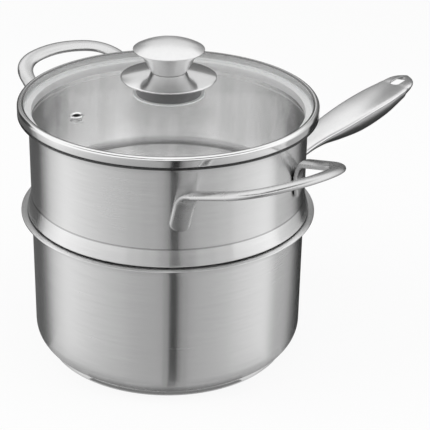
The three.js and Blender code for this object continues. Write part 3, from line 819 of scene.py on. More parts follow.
class COOKWARE_OT_base(bpy.types.Operator):
    """Models the base cap and paints the disc inside it"""

    bl_idname = "cookware.base"
    bl_label = "Bonded base"

    def execute(self, context):
        sizes = context.scene.cookware_vessels
        radius = sizes.wall_radius - sizes.base_inset
        inner = radius - sizes.cap_sheet
        into_corner = inner - (sizes.wall_radius - sizes.corner_radius)
        rise = sizes.corner_radius - math.sqrt(sizes.corner_radius**2 - into_corner**2)
        rim = sizes.cap_sheet + sizes.core_thickness + rise - sizes.fit
        outline = [
            (0, 0), (inner, 0), (radius, sizes.cap_sheet), (radius, rim),
            (inner, rim), (inner, sizes.cap_sheet), (0, sizes.cap_sheet),
        ]
        piece = spun_body("base_steel_cap", outline, LARGE_TURNS)
        round_edges(piece, sizes.rim_round, steepest=40)
        dress(piece, "pan", "bright_steel", "base_steel", "base_cap")
        repaint("base_core", "plain_aluminium")
        return {"FINISHED"}


HANDLE_STATIONS = (
    # distance from the bracket, rise of the upper edge, half width and depth in millimetres
    (0, 0, 11, 9),
    (22, 8, 9.6, 7.4),
    (47, 16, 9.5, 6.6),
    (67, 21.5, 11.5, 9.5),
    (90, 26, 14.4, 15.5),
    (118, 30.8, 15.9, 20.8),
    (146, 34.5, 16, 19.6),
    (167, 37.1, 14.2, 14.6),
    (189, 39.9, 13, 6.5),
)
HANDLE_STEPS = 72
TIP_STEPS = 14
TIP_POWER = 0.85


def handle_station(way):
    """Distance, rise, half width and depth at a share of the way along the stations, as one smooth curve."""
    spans = len(HANDLE_STATIONS) - 1
    span = min(int(way * spans), spans - 1)
    part = way * spans - span
    nearby = [HANDLE_STATIONS[max(min(span + step, spans), 0)] for step in (-1, 0, 1, 2)]
    values = []
    for before, start, end, after in zip(*nearby):
        leave = (end - before) / 2
        arrive = (after - start) / 2
        cubic = 2 * start - 2 * end + leave + arrive
        square = -3 * start + 3 * end - 2 * leave - arrive
        values.append((cubic * part**3 + square * part**2 + leave * part + start) * MM)
    return values


def handle_sections(vessels, sizes):
    """Distance from the axis, upper edge, half width and depth all along the handle, with a round tip."""
    root = vessels.wall_radius + sizes.bracket_thickness
    edge_root = vessels.pan_height - sizes.root_drop
    body = [handle_station(step / HANDLE_STEPS) for step in range(HANDLE_STEPS + 1)]
    sections = [section for section in body if section[0] < sizes.reach - sizes.tip_length]
    tip_half_width = body[-1][2]
    for step in range(TIP_STEPS):
        turn = step / TIP_STEPS * math.pi / 2
        roundness = math.cos(turn) ** TIP_POWER
        left = sizes.tip_length * (1 - math.sin(turn) ** TIP_POWER)
        way = 1 - left / sizes.reach
        _, rise, _, depth = handle_station(way)
        depth = max(depth * roundness, sizes.sheet + 2 * vessels.fit)
        sections.append((sizes.reach - left, rise, tip_half_width * roundness, depth))
    return [(root + along, edge_root + rise, *section) for along, rise, *section in sections]


def lofted(name, outline, sections, scale_of):
    """A piece extruded from one outline through the sections of the long handle, resized at each."""
    piece = start_piece(name)
    along, edge = sections[0][:2]
    draw_face([Vector((along, y, edge + z)) for y, z in outline])
    for before, after in zip(sections, sections[1:]):
        step = Vector((after[0] - before[0], 0, after[1] - before[1]))
        bpy.ops.mesh.extrude_region_move(TRANSFORM_OT_translate={"value": step})
        wider, deeper = scale_of(before, after)
        bpy.ops.transform.resize(value=(1, wider, deeper), center_override=(after[0], 0, after[1]))
    close_shape()
    return piece


def tool_top(vessels):
    """Height of the hang slot's tools, above the handle's tip."""
    return vessels.pan_height * SLOT_TOOL_SHARE


def slot_tool(vessels, sizes, tool_length, tool_width):
    """A tool for the hang slot, long enough for both halves of the handle."""
    half_run = (tool_length - tool_width) / 2
    radii = (tool_width / 2, tool_width / 2)
    middle = vessels.wall_radius + sizes.bracket_thickness + sizes.reach - sizes.slot_inset
    ends = arc((half_run, 0), radii, -90, 90, 16) + arc((-half_run, 0), radii, 90, 270, 16)
    tool = start_piece("slot_tool")
    draw_face([Vector((middle + x, y, tool_top(vessels))) for x, y in ends])
    bpy.ops.mesh.extrude_region_move(TRANSFORM_OT_translate={"value": -UP * vessels.pan_height})
    close_shape()
    return tool


def plate_section(half_width, sizes):
    """Half the top plate's section and its mirror image: crowned, with edges that round down."""
    inner = 1 - sizes.edge_share
    edge = arc((inner, -sizes.edge_fall), (sizes.edge_share, sizes.edge_fall), 0, 90, 6)
    half = edge + [(way, 0) for way in spread(inner, 0, 5)[1:]]
    upper = half + [(-way, fall) for way, fall in reversed(half[:-1])]
    lower = [(way, -sizes.sheet) for way in spread(-1, 1, 10)]
    return [(half_width * way, sizes.crown * (1 - way**2) + fall) for way, fall in upper + lower]


class COOKWARE_OT_long_handle(bpy.types.Operator):
    """Models the long handle's top plate and belly and paints its bracket"""

    bl_idname = "cookware.long_handle"
    bl_label = "Long handle"

    def execute(self, context):
        vessels = context.scene.cookware_vessels
        sizes = context.scene.cookware_handle
        sections = handle_sections(vessels, sizes)
        _, _, half_width, depth = sections[0]

        plate = plate_section(half_width, sizes)
        top = lofted("handle_top_plate", plate, sections, lambda a, b: (b[2] / a[2], 1))
        cut_away(top, slot_tool(vessels, sizes, sizes.slot_length, sizes.slot_width))
        round_edges(top, sizes.edge_round, steepest=60)
        dress(top, "pan", "satin_steel", "handle_steel", "handle_top")

        drop = sizes.sheet + vessels.fit
        rim = [(along, edge - drop, width, deep - drop) for along, edge, width, deep in sections]
        trough = arc((0, 0), (half_width, depth - drop), 0, -180, 24)
        belly = lofted("handle_belly_trough", trough, rim, lambda a, b: (b[2] / a[2], b[3] / a[3]))
        cut_away(belly, slot_tool(vessels, sizes, sizes.slot_scoop, sizes.slot_scoop))
        under = slot_tool(vessels, sizes, sizes.under_opening, sizes.under_opening)
        under_top = sections[-1][1] - sizes.under_drop
        under.location = (sizes.under_shift, sizes.under_offset, under_top - tool_top(vessels))
        cut_away(belly, under)
        round_edges(belly, sizes.edge_round, steepest=40)
        dress(belly, "pan", "satin_steel", "handle_steel", "handle_belly")
        repaint("handle_bracket", "loop_steel")
        return {"FINISHED"}


def hole_tools(sizes, height):
    """One tool of all the steam holes."""
    tool = start_piece("hole_tools")
    for ring in range(sizes.hole_rings + 1):
        holes = max(ring * sizes.first_ring, 1)
        for hole in range(holes):
            turn = FULL_TURN * hole / holes
            reach = ring * sizes.hole_pitch
            bpy.ops.mesh.primitive_cylinder_add(
                vertices=HOLE_SIDES, radius=sizes.hole_radius, depth=HOLE_TOOL_SHEETS * sizes.sheet,
                location=(reach * math.cos(turn), reach * math.sin(turn), height),
            )
    bpy.ops.object.mode_set(mode="OBJECT")
    return tool


class COOKWARE_OT_steamer(bpy.types.Operator):
    """Models the steamer's drawn shell with its steam holes"""

    bl_idname = "cookware.steamer"
    bl_label = "Steamer shell"

    def execute(self, context):
        sizes = context.scene.cookware_vessels
        lower = sizes.pan_height + sizes.lower_floor_rise
        upper = lower + sizes.step_height
        wall = sizes.wall_radius - sizes.sheet / 2
        bead = (sizes.wall_radius + sizes.bead_offset, sizes.pan_height + sizes.bead_round + sizes.fit)
        crease = sizes.pan_height + sizes.crease_rise
        path = [
            (0, upper), (sizes.step_radius - sizes.step_width, upper), (sizes.step_radius, lower),
            (sizes.wall_radius - sizes.moat_inset, lower),
            *arc(bead, (sizes.bead_round, sizes.bead_round), 180, 370, 24),
            (wall, crease), *lip_path(sizes, steamer_top(sizes)),
        ]
        piece = spun("steamer_drawn_shell", path, LARGE_TURNS)
        round_edges(piece, sizes.step_round, steepest=30, segments=5)
        round_edges(piece, sizes.crease_round, steepest=13)
        apply_modifier(piece, "SOLIDIFY", thickness=sizes.sheet, offset=0.0, use_even_offset=True)
        cut_away(piece, hole_tools(sizes, upper))
        round_edges(piece, sizes.rim_round, steepest=55, segments=2)
        dress(piece, "steamer", "satin_steel", "ring_brushed_steel", "steamer_shell")
        return {"FINISHED"}


def loop_route(vessels, sizes):
    """Half of a loop's middle line, from the middle of the bar to the end of a foot.

    Each stop has its place, the way that the bar's upper face looks, and the width, thickness and straight
    edge of its section.
    """
    slope = math.tan(sizes.rise)
    lip = steamer_top(vessels)
    foot_reach = vessels.wall_radius + vessels.fit + sizes.foot_thickness / 2
    root_reach = math.sqrt((foot_reach + sizes.thickness / 2) ** 2 - sizes.root_spread**2)
    root_turn = math.atan2(sizes.root_spread, root_reach)
    root_height = lip - sizes.root_drop
    foot_bottom = lip - sizes.foot_drop

    def on_plane(reach, side):
        return Vector((reach, side, root_height + (reach - root_reach) * slope))

    def on_wall(height):
        way = (root_height - height) / (root_height - foot_bottom)
        turn = root_turn + way * sizes.foot_lean
        return Vector((foot_reach * math.cos(turn), foot_reach * math.sin(turn), height))

    def toward(start, end, distance):
        return start + (end - start).normalized() * distance

    def bow(start, pull, end, steps):
        ways = spread(0, 1, steps)
        return [start * (1 - way) ** 2 + pull * (2 * way * (1 - way)) + end * way**2 for way in ways]

    corner = on_plane(vessels.wall_radius + sizes.corner_reach, sizes.corner_spread)
    root = on_plane(root_reach, sizes.root_spread)
    peak = on_plane(vessels.wall_radius + sizes.middle_reach, 0)
    bar_end = toward(corner, peak, sizes.corner_round)
    bar_pull = (bar_end + peak) / 2
    bar_middle = on_plane(bar_pull.x, 0)
    leg_start = toward(corner, root, sizes.corner_round)
    leg_end = toward(root, corner, sizes.bend)
    foot_top = on_wall(root_height - sizes.bend)
    upward = Vector((-math.sin(sizes.rise), 0, math.cos(sizes.rise)))

    def inward(point):
        return Vector((-point.x, -point.y, 0)).normalized()

    loop = [*bow(bar_middle, bar_pull, bar_end, 12), *bow(bar_end, corner, leg_start, 14)[1:], leg_end]
    bend = bow(leg_end, root, foot_top, 12)[1:]
    foot = [on_wall(height) for height in spread(foot_top.z, foot_bottom + sizes.foot_corner, 4)[1:]]
    for turn in spread(0, math.pi / 2, 7)[1:]:
        foot.append(on_wall(foot_bottom + sizes.foot_corner * (1 - math.sin(turn))))
    bar = Vector((sizes.width, sizes.thickness, sizes.thickness * sizes.edge_share))
    tongue = Vector((sizes.foot_width, sizes.foot_thickness, sizes.foot_thickness * sizes.foot_edge_share))
    route = [(point, upward, *bar) for point in loop]
    for step, point in enumerate(bend):
        way = (step + 1) / len(bend)
        route.append((point, upward.lerp(inward(point), way).normalized(), *bar.lerp(tongue, way)))
    for point in foot:
        into_corner = max(1 - (point.z - foot_bottom) / sizes.foot_corner, 0)
        width = sizes.foot_width - 2 * sizes.foot_corner * (1 - math.sqrt(1 - into_corner**2))
        route.append((point, inward(point), width, *tongue[1:]))
    return route


def mirrored(stop):
    """A stop of a loop's route on the other side of its middle."""
    point, face, *section = stop
    return Vector((point.x, -point.y, point.z)), Vector((face.x, -face.y, face.z)), *section


def bar_section(width, thickness, edge):
    """A section with a crowned upper face and a flat lower face that is rounded into the straight edges."""
    level = edge - thickness / 2
    flat = width / 2 - edge
    right = arc((flat, level), (edge, edge), -90, 0, 5)
    crown = arc((0, level), (width / 2, thickness - edge), 0, 180, 16)
    left = arc((-flat, level), (edge, edge), 180, 270, 5)
    return [*right, *crown[1:-1], *left]


def swept_bar(name, route):
    """A crowned bar through all the stops of a route."""
    piece = start_piece(name)
    for step, (point, face, *section) in enumerate(route):
        before = route[max(step - 1, 0)][0]
        after = route[min(step + 1, len(route) - 1)][0]
        tangent = (after - before).normalized()
        normal = (face - tangent * face.dot(tangent)).normalized()
        across = tangent.cross(normal)
        outline = [point + across * x + normal * y for x, y in bar_section(*section)]
        draw_line([*outline, outline[0]])
        one_corner()
    bpy.ops.mesh.delete(type="VERT")
    bpy.ops.mesh.select_all(action="SELECT")
    bpy.ops.mesh.remove_doubles(threshold=MERGE)
    bpy.ops.mesh.bridge_edge_loops()
    bpy.ops.mesh.select_all(action="DESELECT")
    bpy.ops.mesh.select_non_manifold()
    bpy.ops.mesh.edge_face_add()
    close_shape()
    return piece


def turn_piece(piece, turn):
    """Turns a whole piece about the axis, in its mesh."""
    edit_whole(piece)
    bpy.ops.transform.rotate(value=-turn, orient_axis="Z", center_override=(0, 0, 0))
    bpy.ops.object.mode_set(mode="OBJECT")


class COOKWARE_OT_loops(bpy.types.Operator):
    """Models one loop handle of the steamer and copies it to the other side"""

    bl_idname = "cookware.loops"
    bl_label = "Loop handles"

    def execute(self, context):
        vessels = context.scene.cookware_vessels
        sizes = context.scene.cookware_loops
        half = loop_route(vessels, sizes)
        front = swept_bar("loop_front_bar", [mirrored(stop) for stop in reversed(half[1:])] + half)
        turn_piece(front, -sizes.turn)
        bpy.ops.object.duplicate(linked=False)
        back = context.object
        back.name = "loop_back_bar"
        turn_piece(back, math.pi)
        dress(front, "steamer", "satin_steel", "loop_steel", "steamer_loop_front", sharpest=40)
        dress(back, "steamer", "satin_steel", "loop_steel", "steamer_loop_back", sharpest=40)
        return {"FINISHED"}


class COOKWARE_OT_lid(bpy.types.Operator):
    """Models the lid's band, seal and glass"""

    bl_idname = "cookware.lid"
    bl_label = "Glass lid"

    def execute(self, context):
        vessels = context.scene.cookware_vessels
        lid = context.scene.cookware_lid
        knob = context.scene.cookware_knob
        outer = lip_radius(vessels)
        low = steamer_top(vessels) + vessels.fit
        top = low + lid.band_height
        crown = lid.band_top / 2
        glass_rim = glass_top(vessels, lid, outer - lid.band_top) + vessels.fit / 2
        shoulder = top - lid.crown_fall
        floor = low + lid.band_sheet
        skirt = vessels.wall_radius - vessels.sheet - vessels.fit
        face = outer - lid.band_sheet
        outline = [
            *arc((outer - crown, glass_rim), (crown, top - glass_rim), 180, 90, 8),
            *arc((outer - crown, shoulder), (crown, lid.crown_fall), 90, 0, 10)[1:],
            *arc((outer - lid.band_round, low + lid.band_round), (lid.band_round,) * 2, 0, -90, 8),
            (skirt, low), (skirt, low - lid.skirt_depth), (skirt - lid.band_sheet, low - lid.skirt_depth),
            (skirt - lid.band_sheet, floor), (face, floor), (face, glass_rim),
        ]
        band = spun_body("lid_rolled_band", outline, LARGE_TURNS)
        round_edges(band, vessels.rim_round, steepest=50, segments=2)
        dress(band, "lid", "bright_steel", "band_steel", "lid_band")

        seal_outer = outer - lid.band_top + lid.seal_width / 2
        under = glass_top(vessels, lid, seal_outer) - lid.glass - vessels.fit
        seal_high = min(floor + lid.seal_thickness, under)
        seal_inner = seal_outer - lid.seal_width
        outline = [
            (seal_inner, floor), (seal_outer, floor), (seal_outer, seal_high), (seal_inner, seal_high),
        ]
        seal = spun_body("lid_seal_ring", outline, LARGE_TURNS)
        round_edges(seal, vessels.rim_round, steepest=50, segments=2)
        dress(seal, "lid", "clear_silicone", "clear_silicone", "band_seal")

        radii = spread(knob.screw_hole, glass_edge(vessels, lid), 24)
        upper = [(radius, glass_top(vessels, lid, radius)) for radius in radii]
        lower = [(radius, height - lid.glass) for radius, height in reversed(upper)]
        glass = spun_body("lid_glass_dome", upper + lower, LARGE_TURNS)
        cut_away(glass, vent_tool(vessels, lid))
        dress(glass, "lid", "clear_glass", "lid_glass_clear", "lid_glass")
        return {"FINISHED"}


def stand_on_glass(piece, vessels, lid):
    """Moves a piece that was made about the axis to the vent's place, square to the sloping glass."""
    edge = glass_edge(vessels, lid)
    reach = edge - lid.vent_inset
    slope = math.atan(2 * lid.dome_rise * reach / edge**2)
    edit_whole(piece)
    bpy.ops.transform.rotate(value=-slope, orient_axis="Y", center_override=(0, 0, 0))
    height = glass_top(vessels, lid, reach) - lid.glass / 2
    bpy.ops.transform.translate(value=(reach, 0, height))
    bpy.ops.transform.rotate(value=-lid.vent_turn, orient_axis="Z", center_override=(0, 0, 0))
    bpy.ops.object.mode_set(mode="OBJECT")


def vent_tool(vessels, lid):
    """A tool for the vent's hole in the glass."""
    radius = lid.vent_barrel + vessels.fit
    outline = [(0, -2 * lid.glass), (radius, -2 * lid.glass), (radius, 2 * lid.glass), (0, 2 * lid.glass)]
    tool = spun_body("vent_tool", outline, VENT_TURNS)
    stand_on_glass(tool, vessels, lid)
    return tool


class COOKWARE_OT_vent(bpy.types.Operator):
    """Models the steam vent's eyelet"""

    bl_idname = "cookware.vent"
    bl_label = "Steam vent"

    def execute(self, context):
        vessels = context.scene.cookware_vessels
        lid = context.scene.cookware_lid
        half = lid.glass / 2 + vessels.fit
        low = -half - lid.vent_flange_thickness
        high = half + lid.vent_flange_thickness
        chamfer = lid.vent_flange_thickness / 2
        outline = [
            (lid.vent_bore, low), (lid.vent_flange - chamfer, low), (lid.vent_flange, -half),
            (lid.vent_barrel, -half), (lid.vent_barrel, half), (lid.vent_flange, half),
            (lid.vent_flange - chamfer, high), (lid.vent_bore, half + chamfer),
        ]
        eyelet = spun_body("vent_steel_eyelet", outline, VENT_TURNS)
        round_edges(eyelet, vessels.rim_round, steepest=25)
        bore = [face.index for face in eyelet.data.polygons if face.center.xy.length < lid.vent_bore]
        stand_on_glass(eyelet, vessels, lid)
        dress(eyelet, "lid", "bright_steel", "polished_steel", "vent_eyelet")
        # The bore's faces get a black finish as painted shade in the hole
        eyelet.data.materials.append(finish_named("bore_painted_shade"))
        for index in bore:
            eyelet.data.polygons[index].material_index = 1
        return {"FINISHED"}


class COOKWARE_OT_knob(bpy.types.Operator):
    """Models the knob's collar, skirt and cap and paints its fixing"""

    bl_idname = "cookware.knob"
    bl_label = "Lid knob"

    def execute(self, context):
        vessels = context.scene.cookware_vessels
        lid = context.scene.cookware_lid
        knob = context.scene.cookware_knob
        glass = glass_top(vessels, lid, 0)
        collar_low = glass + knob.washer
        rim_top = glass + knob.skirt_rim
        neck_low = rim_top + knob.skirt_rise

        def skirt_top(radius):
            way = max((radius - knob.neck_radius) / (knob.skirt_radius - knob.neck_radius), 0)
            return neck_low - knob.skirt_rise * way**knob.skirt_curl

        radii = [knob.screw_hole, *spread(knob.neck_radius, knob.skirt_radius, 16)]
        path = [(radius, skirt_top(radius) - knob.skirt_sheet / 2) for radius in radii]
        skirt = spun_sheet("knob_mirror_skirt", path, knob.skirt_sheet, SMALL_TURNS)
        round_edges(skirt, vessels.rim_round, steepest=50)
        dress(skirt, "lid", "bright_steel", "knob_steel", "knob_skirt")

        under = [(radius, skirt_top(radius) - knob.skirt_sheet - vessels.fit) for radius in radii]
        inside = [point for point in under if point[0] < knob.collar_radius]
        rim = (knob.collar_radius, skirt_top(knob.collar_radius) - knob.skirt_sheet - vessels.fit)
        outline = [(knob.screw_hole, collar_low), (knob.collar_radius, collar_low), rim, *reversed(inside)]
        collar = spun_body("knob_dark_collar", outline, SMALL_TURNS)
        round_edges(collar, vessels.rim_round, steepest=50)
        dress(collar, "lid", "dark_collar", "collar_plastic", "knob_collar")

        cap_top = neck_low + knob.cap_height
        cap_rim = cap_top - knob.cap_drop
        rim_round = knob.cap_wall / 2
        hollow_top = cap_rim - knob.cap_wall
        cap_under = neck_low + knob.neck_height
        crown = []
        for way in reversed(spread(0, CROWN_SHARE, CROWN_STEPS)):
            crown.append((knob.cap_radius * way, cap_top - knob.cap_drop * way**knob.cap_curl))
        neck_inner = knob.neck_radius - knob.cap_wall
        outline = [
            (knob.neck_radius, neck_low), (knob.cap_under, cap_under),
            (knob.cap_radius - rim_round, cap_rim - rim_round), (knob.cap_radius, cap_rim),
            *crown,
            (0, hollow_top), (knob.cap_under - knob.cap_wall, hollow_top),
            (knob.cap_under - 2 * knob.cap_wall, cap_under - knob.cap_wall),
            (neck_inner, neck_low + knob.cap_wall), (neck_inner, neck_low),
        ]
        cap = spun("knob_domed_cap", [*outline, outline[0]], SMALL_TURNS)
        round_edges(cap, 2 * vessels.rim_round, steepest=30)
        dress(cap, "lid", "bright_steel", "cap_steel", "knob_cap")

        repaint("knob_washer", "clear_silicone")
        repaint("under_washer", "silicone")
        for node in ("knob_bush", "plate_washer", "knob_screw"):
            repaint(node, "loop_steel")
        return {"FINISHED"}


# The studio
def ray_kinds(board):
    """Two masks: rays from the camera or through glass, and rays off gloss."""
    camera = board.add("ShaderNodeLightPath", output="Is Camera Ray")
    outputs = camera.socket.node.outputs
    through = Wire(board, outputs["Is Transmission Ray"])
    return camera.math("MAXIMUM", camera, through), Wire(board, outputs["Is Glossy Ray"])


def light_room(world, studio):
    """Lights matt surfaces evenly from all round and gives gloss a room to mirror.

    Gloss sees that room bright at the sides and high behind the object, dimmer low in front and low behind,
    and dark above the camera.
    """
    board = Board(world)
    seen, glossy = ray_kinds(board)
    direction = board.add("ShaderNodeTexCoord", output="Generated")
    near = picture_axes(studio)[1]
    toward = board.add(
        "ShaderNodeVectorMath", {"operation": "DOT_PRODUCT"}, {0: direction, 1: near}, output="Value"
    )
    height = board.add("ShaderNodeSeparateXYZ", {}, {0: direction}, output="Z")
    low_part = board.clamp(1.0 - height * studio.room_front_rise)
    front = toward.math("MAXIMUM", toward, 0.0) * low_part * studio.room_front_fall
    low_back = board.clamp((studio.ceiling_back - height) * studio.ceiling_fall)
    back = toward.math("MINIMUM", toward, 0.0) * low_back * studio.room_back_fall
    overhead = board.clamp((height - studio.dark_low) * studio.ceiling_fall)
    over_front = board.clamp((toward + studio.dark_reach) * studio.dark_fall)
    dimming = 1.0 - overhead * (over_front * studio.dark_depth + studio.ceiling_dark)
    level = (studio.room_sides - front + back) * (height * studio.room_rise + studio.room_level) * dimming
    mirrored_room = board.add("ShaderNodeClamp", {}, {"Value": level, "Max": studio.room_peak})
    others = glossy * mirrored_room + (1.0 - glossy) * studio.room
    light = board.add(
        "ShaderNodeBackground", {}, {"Color": tone(WHITE), "Strength": seen + (1.0 - seen) * others}
    )
    board.add("ShaderNodeOutputWorld", {}, {"Surface": light})


def floor_finish(whiteness):
    """A pale floor that shows white and keeps a soft shadow."""
    board = Board(bpy.data.materials.new("studio_floor"))
    place = board.place()[0]
    mottle = board.noise(place, scale=6.0, detail=2.0)
    pale = board.blend(mottle, tone(WHITE, FLOOR_DARK), tone(WHITE, FLOOR_PALE))
    matt = board.add("ShaderNodeBsdfDiffuse", {}, {"Color": pale})
    white = board.add("ShaderNodeEmission", {}, {"Color": tone(WHITE), "Strength": 1.0})
    shader = board.add("ShaderNodeMixShader", {}, {0: ray_kinds(board)[0] * whiteness, 1: matt, 2: white})
    board.add("ShaderNodeOutputMaterial", {}, {"Surface": shader})
    return board.owner


def around(degrees, distance, height, studio):
    """A place round the object, turned from the camera's side, to the right of the picture if positive."""
    heading = studio.camera_turn + math.pi + math.radians(degrees)
    return Vector((math.cos(heading) * distance, math.sin(heading) * distance, height))


def soft_box(name, degrees, width, strength, studio):
    """A large soft lamp at one side that looks at the object, and that gloss doesn't see."""
    light = bpy.data.lights.new(name, "AREA")
    light.shape = "RECTANGLE"
    light.size = width
    light.size_y = studio.soft_box_height
    light.energy = studio.soft_box_power * strength
    lamp = bpy.data.objects.new(name, light)
    bpy.context.scene.collection.objects.link(lamp)
    place = around(degrees, studio.soft_box_distance, studio.soft_box_rise, studio)
    lamp.location = place
    lamp.rotation_euler = (UP * studio.aim_height - place).to_track_quat("-Z", "Y").to_euler()
    lamp.visible_camera = False
    lamp.visible_glossy = False


def picture_axes(studio):
    """Level directions to the right of the picture and towards the camera."""
    near = Vector((-math.cos(studio.camera_turn), -math.sin(studio.camera_turn), 0))
    return UP.cross(near), near


def seen_from(degrees, distance, studio, radius):
    """A place on the floor that a round wall mirrors to the camera, by the angle round the wall in degrees.

    The angle is counted from the camera's side, to the right of the picture.
    """
    right, near = picture_axes(studio)
    turn = math.radians(degrees)
    wall = right * math.sin(turn) + near * math.cos(turn)
    ray = right * math.sin(2 * turn) + near * math.cos(2 * turn)
    return wall * (radius + studio.card_gap) + ray * distance + UP * MM


def card_between(name, corners, level):
    """A studio card of one grey level between its corners, which only gloss sees."""
    card = start_piece(name)
    draw_face(corners)
    bpy.ops.object.mode_set(mode="OBJECT")
    board = Board(bpy.data.materials.new(name))
    face = board.add("ShaderNodeEmission", {}, {"Color": tone(WHITE), "Strength": level})
    board.add("ShaderNodeOutputMaterial", {}, {"Surface": face})
    card.data.materials.append(board.owner)
    card.visible_camera = False
    card.visible_diffuse = False
    card.visible_shadow = False
    card.visible_transmission = False


def standing_card(name, feet, low, high, level):
    """An upright studio card above two places on the floor, between two heights in millimetres."""
    lower = [foot + UP * low * MM for foot in feet]
    upper = [foot + UP * high * MM for foot in reversed(feet)]
    card_between(name, lower + upper, level)


SOFT_BOXES = (
    # name, direction from the camera's side in degrees, width in metres, and share of the power
    ("soft_box_left", -80, 0.9, 1.0),
    ("soft_box_right", 80, 0.7, 0.7),
)
# Width of the floor in metres, width of the camera's frame in millimetres, and steps of a ring card
FLOOR_SIZE = 8
SENSOR_WIDTH = 36
RING_STEPS = 16
FLOOR_CARDS = (
    # name, start and end round the wall in degrees, and grey level
    ("floor_card_front", 2.0, 5.6, 0.02),
    ("floor_card_front_left", -0.6, 2.0, 0.32),
    ("floor_card_front_right", 5.6, 7.2, 0.25),
    ("floor_card_front_far_right", 7.2, 10, 0.36),
    ("floor_card_left", -86, -61, 0.12),
    ("floor_card_left_soft", -61, -57, 0.35),
    ("floor_card_right", 67, 86, 0.03),
    ("floor_card_right_soft", 50, 67, 0.45),
)
UPRIGHT_CARDS = (
    # name, start and end round the wall in degrees, lower and upper edge in millimetres, and grey level
    ("upright_card_front", 2.0, 5.6, 0, 330, 0.02),
    ("upright_card_front_left", -3, 2.0, 0, 330, 0.27),
    ("upright_card_front_far_left", -9, -3, 60, 330, 0.45),
    ("upright_card_front_end_left", -15, -9, 60, 330, 0.6),
    ("upright_card_front_right", 5.6, 12, 0, 330, 0.25),
    ("upright_card_front_far_right", 12, 20, 60, 330, 0.42),
    ("upright_card_front_end_right", 20, 27, 60, 330, 0.56),
    ("upright_card_left", -86, -61, 0, 300, 0.1),
    ("upright_card_right", 67, 86, 0, 300, 0.05),
)
BACK_CARDS = (
    # name, distance behind the object, left, right, lower and upper edge in millimetres, and grey level
    ("handle_card_dark", 365, 180, 420, 150, 340, 0.15),
    ("left_card_dark", 250, -700, -330, 60, 420, 0.05),
    ("back_card_pale", 365, -130, 130, 325, 560, 0.85),
)
# Dark rings on the floor round the base that only gloss sees: a painted shadow of the floor in the base's
# reflections
RING_CARDS = (
    # name, start and end round the wall in degrees, inner and outer radius in millimetres, and grey level
    ("shadow_ring_card_inner", -37, 39, 91, 100, 0.2),
    ("shadow_ring_card_outer", -70, 70, 100, 125, 0.42),
)


def place_cards(studio, wall):
    """Sets up the studio's cards: on the floor, in front, at the sides, behind and overhead."""
    reach = studio.card_reach
    right, near = picture_axes(studio)
    for name, start, end, level in FLOOR_CARDS:
        sides = [(start, 0), (start, reach), (end, reach), (end, 0)]
        corners = [seen_from(degrees, distance, studio, wall) for degrees, distance in sides]
        card_between(name, corners, level)
    for name, start, end, inner, outer, level in RING_CARDS:
        turns = spread(start, end, RING_STEPS)
        inside = [around(degrees, inner * MM, MM, studio) for degrees in turns]
        outside = [around(degrees, outer * MM, MM, studio) for degrees in reversed(turns)]
        card_between(name, inside + outside, level)
    side = studio.cap_card_size / 2
    corners = [(-side, -side), (side, -side), (side, side), (-side, side)]
    overhead = [Vector((x, y, studio.cap_card_height)) for x, y in corners]
    card_between("cap_card", overhead, studio.room_peak)
    for name, distance, start, end, low, high, level in BACK_CARDS:
        feet = [right * across * MM - near * distance * MM for across in (start, end)]
        standing_card(name, feet, low, high, level)
    for name, start, end, low, high, level in UPRIGHT_CARDS:
        feet = [seen_from(degrees, reach, studio, wall) for degrees in (start, end)]
        standing_card(name, feet, low, high, level)


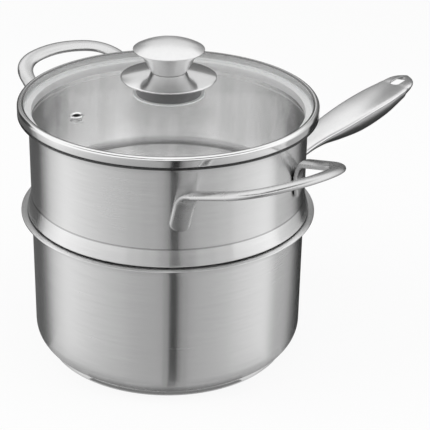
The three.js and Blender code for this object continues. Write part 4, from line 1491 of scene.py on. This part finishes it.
class COOKWARE_OT_stage(bpy.types.Operator):
    """Sets up the floor, the light, the cards and the camera"""

    bl_idname = "cookware.stage"
    bl_label = "Studio"

    def execute(self, context):
        scene = context.scene
        studio = scene.cookware_studio
        scene.view_settings.view_transform = "Standard"
        scene.world = bpy.data.worlds.new("studio_room")
        light_room(scene.world, studio)

        bpy.ops.object.select_all(action="DESELECT")
        bpy.ops.mesh.primitive_plane_add(size=FLOOR_SIZE, location=(0, 0, 0))
        floor = context.object
        floor.name = "studio_floor"
        floor.data.materials.append(floor_finish(studio.floor))
        floor.visible_glossy = False
        for name, degrees, width, strength in SOFT_BOXES:
            soft_box(name, degrees, width, strength, studio)
        place_cards(studio, scene.cookware_vessels.wall_radius)

        camera = bpy.data.cameras.new("photo_camera")
        camera.lens = studio.lens
        camera.sensor_width = SENSOR_WIDTH
        view = bpy.data.objects.new("photo_camera", camera)
        scene.collection.objects.link(view)
        heading = Matrix.Rotation(studio.camera_turn - math.pi / 2, 4, "Z")
        pitch = Matrix.Rotation(math.pi / 2 - studio.camera_pitch, 4, "X")
        roll = Matrix.Rotation(studio.camera_roll, 4, "Z")
        view.matrix_world = Matrix.Translation(studio.camera_place) @ heading @ pitch @ roll
        scene.camera = view
        return {"FINISHED"}


OPERATORS = (
    COOKWARE_OT_stage,
    COOKWARE_OT_pan,
    COOKWARE_OT_base,
    COOKWARE_OT_long_handle,
    COOKWARE_OT_steamer,
    COOKWARE_OT_loops,
    COOKWARE_OT_lid,
    COOKWARE_OT_vent,
    COOKWARE_OT_knob,
)


class COOKWARE_PT_panel(bpy.types.Panel):
    """Lists the pieces of the saucepan and its studio"""

    bl_idname = "COOKWARE_PT_panel"
    bl_label = "Saucepan"
    bl_space_type = "VIEW_3D"
    bl_region_type = "UI"
    bl_category = "Cookware"

    def draw(self, context):
        for operator in OPERATORS:
            self.layout.operator(operator.bl_idname)


SETTINGS = {
    "cookware_vessels": VesselSizes,
    "cookware_handle": HandleSizes,
    "cookware_loops": LoopSizes,
    "cookware_lid": LidSizes,
    "cookware_knob": KnobSizes,
    "cookware_finishes": Finishes,
    "cookware_studio": Studio,
}


def register():
    """Registers the settings, the operators and the panel."""
    for name, group in SETTINGS.items():
        bpy.utils.register_class(group)
        setattr(bpy.types.Scene, name, bpy.props.PointerProperty(type=group))
    for operator in (*OPERATORS, COOKWARE_PT_panel):
        bpy.utils.register_class(operator)


def unregister():
    """Removes the panel, the operators and the settings."""
    for operator in reversed((*OPERATORS, COOKWARE_PT_panel)):
        bpy.utils.unregister_class(operator)
    for name, group in reversed(SETTINGS.items()):
        delattr(bpy.types.Scene, name)
        bpy.utils.unregister_class(group)


def main():
    """Builds the pieces in order."""
    register()
    for operator in OPERATORS:
        group, name = operator.bl_idname.split(".")
        getattr(getattr(bpy.ops, group), name)()


if __name__ == "__main__":
    main()
